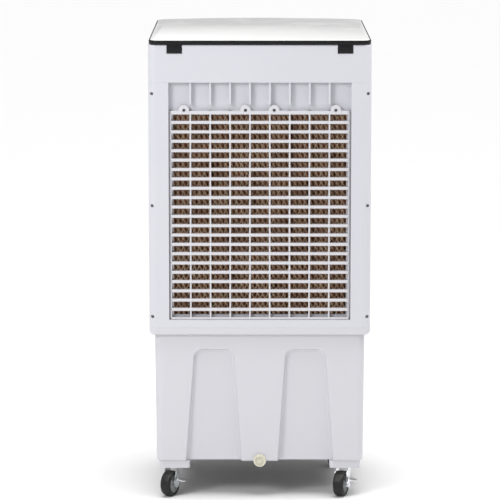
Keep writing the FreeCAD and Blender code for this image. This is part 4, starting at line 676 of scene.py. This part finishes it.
def lidOutline(v):
    # a quadrilateral that narrows to the front, where its side is an arc of radius (half width squared + bow
    # squared) / (2 * bow); each corner is an arc of radius r that starts r * tan(turn / 2) from the corner;
    # gives the points and their outward normals
    low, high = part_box("lid_rim")
    half, rear, crest = high.x + v["widen"], high.y, low.y
    frontHalf, frontY = half - v["taper"], crest + v["bow"]
    arcR = (frontHalf ** 2 + v["bow"] ** 2) / (2 * v["bow"])
    corners = np.array([[half, rear], [-half, rear], [-frontHalf, frontY], [frontHalf, frontY]])
    nearX = frontHalf - v["frontCorner"]
    near = np.array([nearX, crest + arcR - math.sqrt(arcR ** 2 - nearX ** 2)])
    before = [corners[3], corners[0], corners[1], near]
    after = [corners[1], corners[2], near * [-1, 1], corners[0]]
    radii = [v["rearCorner"], v["rearCorner"], v["frontCorner"], v["frontCorner"]]
    points, normals = [], []
    for k, (corner, b, a, r) in enumerate(zip(corners, before, after, radii)):
        d1 = (corner - b) / np.linalg.norm(corner - b)
        d2 = (a - corner) / np.linalg.norm(a - corner)
        turn = math.acos(float(d1 @ d2))
        inward = np.array([-d1[1], d1[0]])
        centre = corner - d1 * r * math.tan(turn / 2) + inward * r
        t = np.linspace(0, turn, v["perCorner"])[:, None]
        n = -inward * np.cos(t) + d1 * np.sin(t)
        points.append(centre + n * r)
        normals.append(n)
        if k == 2:
            x = np.linspace(-nearX, nearX, v["frontSteps"])[:, None]
            drop = np.sqrt(arcR ** 2 - x ** 2)
            points.append(np.concatenate([x, crest + arcR - drop], axis=1))
            normals.append(np.concatenate([x, -drop], axis=1) / arcR)
    return np.concatenate(points), np.concatenate(normals)


def platform(outline, normals, profile, base):
    # each profile row is (inset, height): the outline moved in along its normals and lifted; ends are capped
    inset, height = np.array(profile).T * mm
    ring = outline[None] - normals[None] * inset[:, None, None]
    z = np.broadcast_to((base + height)[:, None, None], ring.shape[:2] + (1,))
    return tube(np.concatenate([ring, z], axis=2), flip=True)


def makeLug(v, x, y, z, height):
    # a rounded section carried along X about (x, y, z), drawn in at both ends
    half, edge = v["lugWidth"] / 2, v["lugRound"] * v["lugEdgeShare"]
    rings = []
    for along, shrink in ((-half, edge), (-half + edge, 0), (half - edge, 0), (half, edge)):
        section = roundedSection(v["lugDepth"] - 2 * shrink, height - 2 * shrink, v["lugRound"])
        across = np.full(len(section), x + along)
        rings.append(np.column_stack([across, y + section[:, 0], z + section[:, 1]]))
    return tube(np.array(rings))


def makeLidFrame(v):
    # the rim and its two hinge blocks
    low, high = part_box("lid_rim")
    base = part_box("lid_panel")[1].z - v["thick"]
    parts = [platform(*lidOutline(v), v["rimProfile"], base)]
    height = base - low.z + v["lugLap"]
    for side in (-1, 1):
        parts.append(makeLug(v, side * v["hingePlace"], high.y - v["lugDepth"] / 2,
                             low.z + height / 2, height))
    return merge(parts)


def makeLidGlass(v):
    # the sheet fills the rim and stands just proud of it
    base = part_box("lid_panel")[1].z - v["thick"]
    return platform(*lidOutline(v), v["glassProfile"], base)


makePiece("lidFrame", makeLidFrame(lidValues), mats["rim"], "lid", ["lid_rim"])
makePiece("lidGlass", makeLidGlass(lidValues), mats["lid"], "lid", ["lid_panel"])
print("lid made")


stageValues = {
    "floorRings": (0.0005, 1.0, 4.0, 12.0, 40.0), "floorTurns": 48,
    "floorColor": (0.90, 0.90, 0.90, 1), "floorShade": (0.885, 0.885, 0.885, 1),
    "floorGrain": 300.0, "floorBump": 0.05 * mm,
    "world": 0.31, "sunStrength": 2.60, "sunAngle": 46.0, "sunFrom": (0.0, 0.05, 0.99),
    "keyPower": 20.0, "keyPlace": (1.3, 1.8, 1.75), "keySize": 0.7,
    "edgePower": 13.0, "edgePlace": (-1.5, 0.22, 1.9), "edgeSize": 0.8, "aimAt": (0, 0, 0.5),
}


def makeStage(v):
    # a plain disc of rings, with its small middle closed
    rings, sides = np.array(v["floorRings"])[:, None], v["floorTurns"]
    turn = np.linspace(0, 2 * math.pi, sides, endpoint=False)
    pts = np.stack([rings * np.cos(turn), rings * np.sin(turn), 0 * rings * turn], axis=-1)
    faces = gridFaces(len(rings), sides, closeCols=True).tolist() + [list(range(sides))]
    mesh = bpy.data.meshes.new("floor")
    mesh.from_pydata(pts.reshape(-1, 3).tolist(), [], faces)
    mesh.materials.append(surfaceMaterial("floorPaper", mouldedGroup, {
        "Color": v["floorColor"], "Shade Color": v["floorShade"], "Grain Scale": v["floorGrain"],
        "Grain Height": 0.2, "Wave Height": 0.0, "Roughness": 0.7, "Roughness Spread": 0.1, "Dust": 0.0},
        v["floorBump"], {}))
    floor = bpy.data.objects.new("floor", mesh)
    bpy.context.scene.collection.objects.link(floor)


def aim(lamp, direction):
    # turns the lamp's -Z along the direction and puts it in the scene
    lamp.rotation_euler = Vector(direction).to_track_quat("-Z", "Y").to_euler()
    bpy.context.scene.collection.objects.link(lamp)


def makeLights(v):
    # even white surroundings
    world = bpy.data.worlds.new("studio")
    world.use_nodes = True
    background = world.node_tree.nodes["Background"].inputs
    background[0].default_value = (1.0, 1.0, 1.0, 1)
    background[1].default_value = v["world"]
    bpy.context.scene.world = world
    # a wide soft source overhead, leaning a little to the rear
    overhead = bpy.data.lights.new("overhead", "SUN")
    overhead.energy = v["sunStrength"]
    overhead.angle = math.radians(v["sunAngle"])
    aim(bpy.data.objects.new("overhead", overhead), -Vector(v["sunFrom"]))
    # one near box falls off across the rear face, the other only grazes it and lights the far corner
    for name in ("key", "edge"):
        box = bpy.data.lights.new(name + "Box", "AREA")
        box.energy = v[name + "Power"]
        box.size = v[name + "Size"]
        lamp = bpy.data.objects.new(name + "Box", box)
        lamp.location = v[name + "Place"]
        lamp.visible_camera = False
        aim(lamp, Vector(v["aimAt"]) - Vector(v[name + "Place"]))


cameraValues = {"distance": 7.0, "height": 1.859, "pitch": 10.85, "lens": 254.9, "sideStep": 0.0198,
                "sensor": 36.0, "farthest": 100.0}


def makeCamera(v):
    # stands behind the back face and looks down along -Y by the pitch
    data = bpy.data.cameras.new("camera")
    data.lens = v["lens"]
    data.sensor_width = v["sensor"]
    data.clip_end = v["farthest"]
    camera = bpy.data.objects.new("camera", data)
    camera.location = (v["sideStep"], cadHigh.y + v["distance"], v["height"])
    camera.rotation_euler = (math.radians(90 - v["pitch"]), 0, math.pi)
    bpy.context.scene.collection.objects.link(camera)
    bpy.context.scene.camera = camera


makeStage(stageValues)
makeLights(stageValues)
makeCamera(cameraValues)
bpy.context.scene.view_settings.view_transform = "Standard"
print("stage ready")
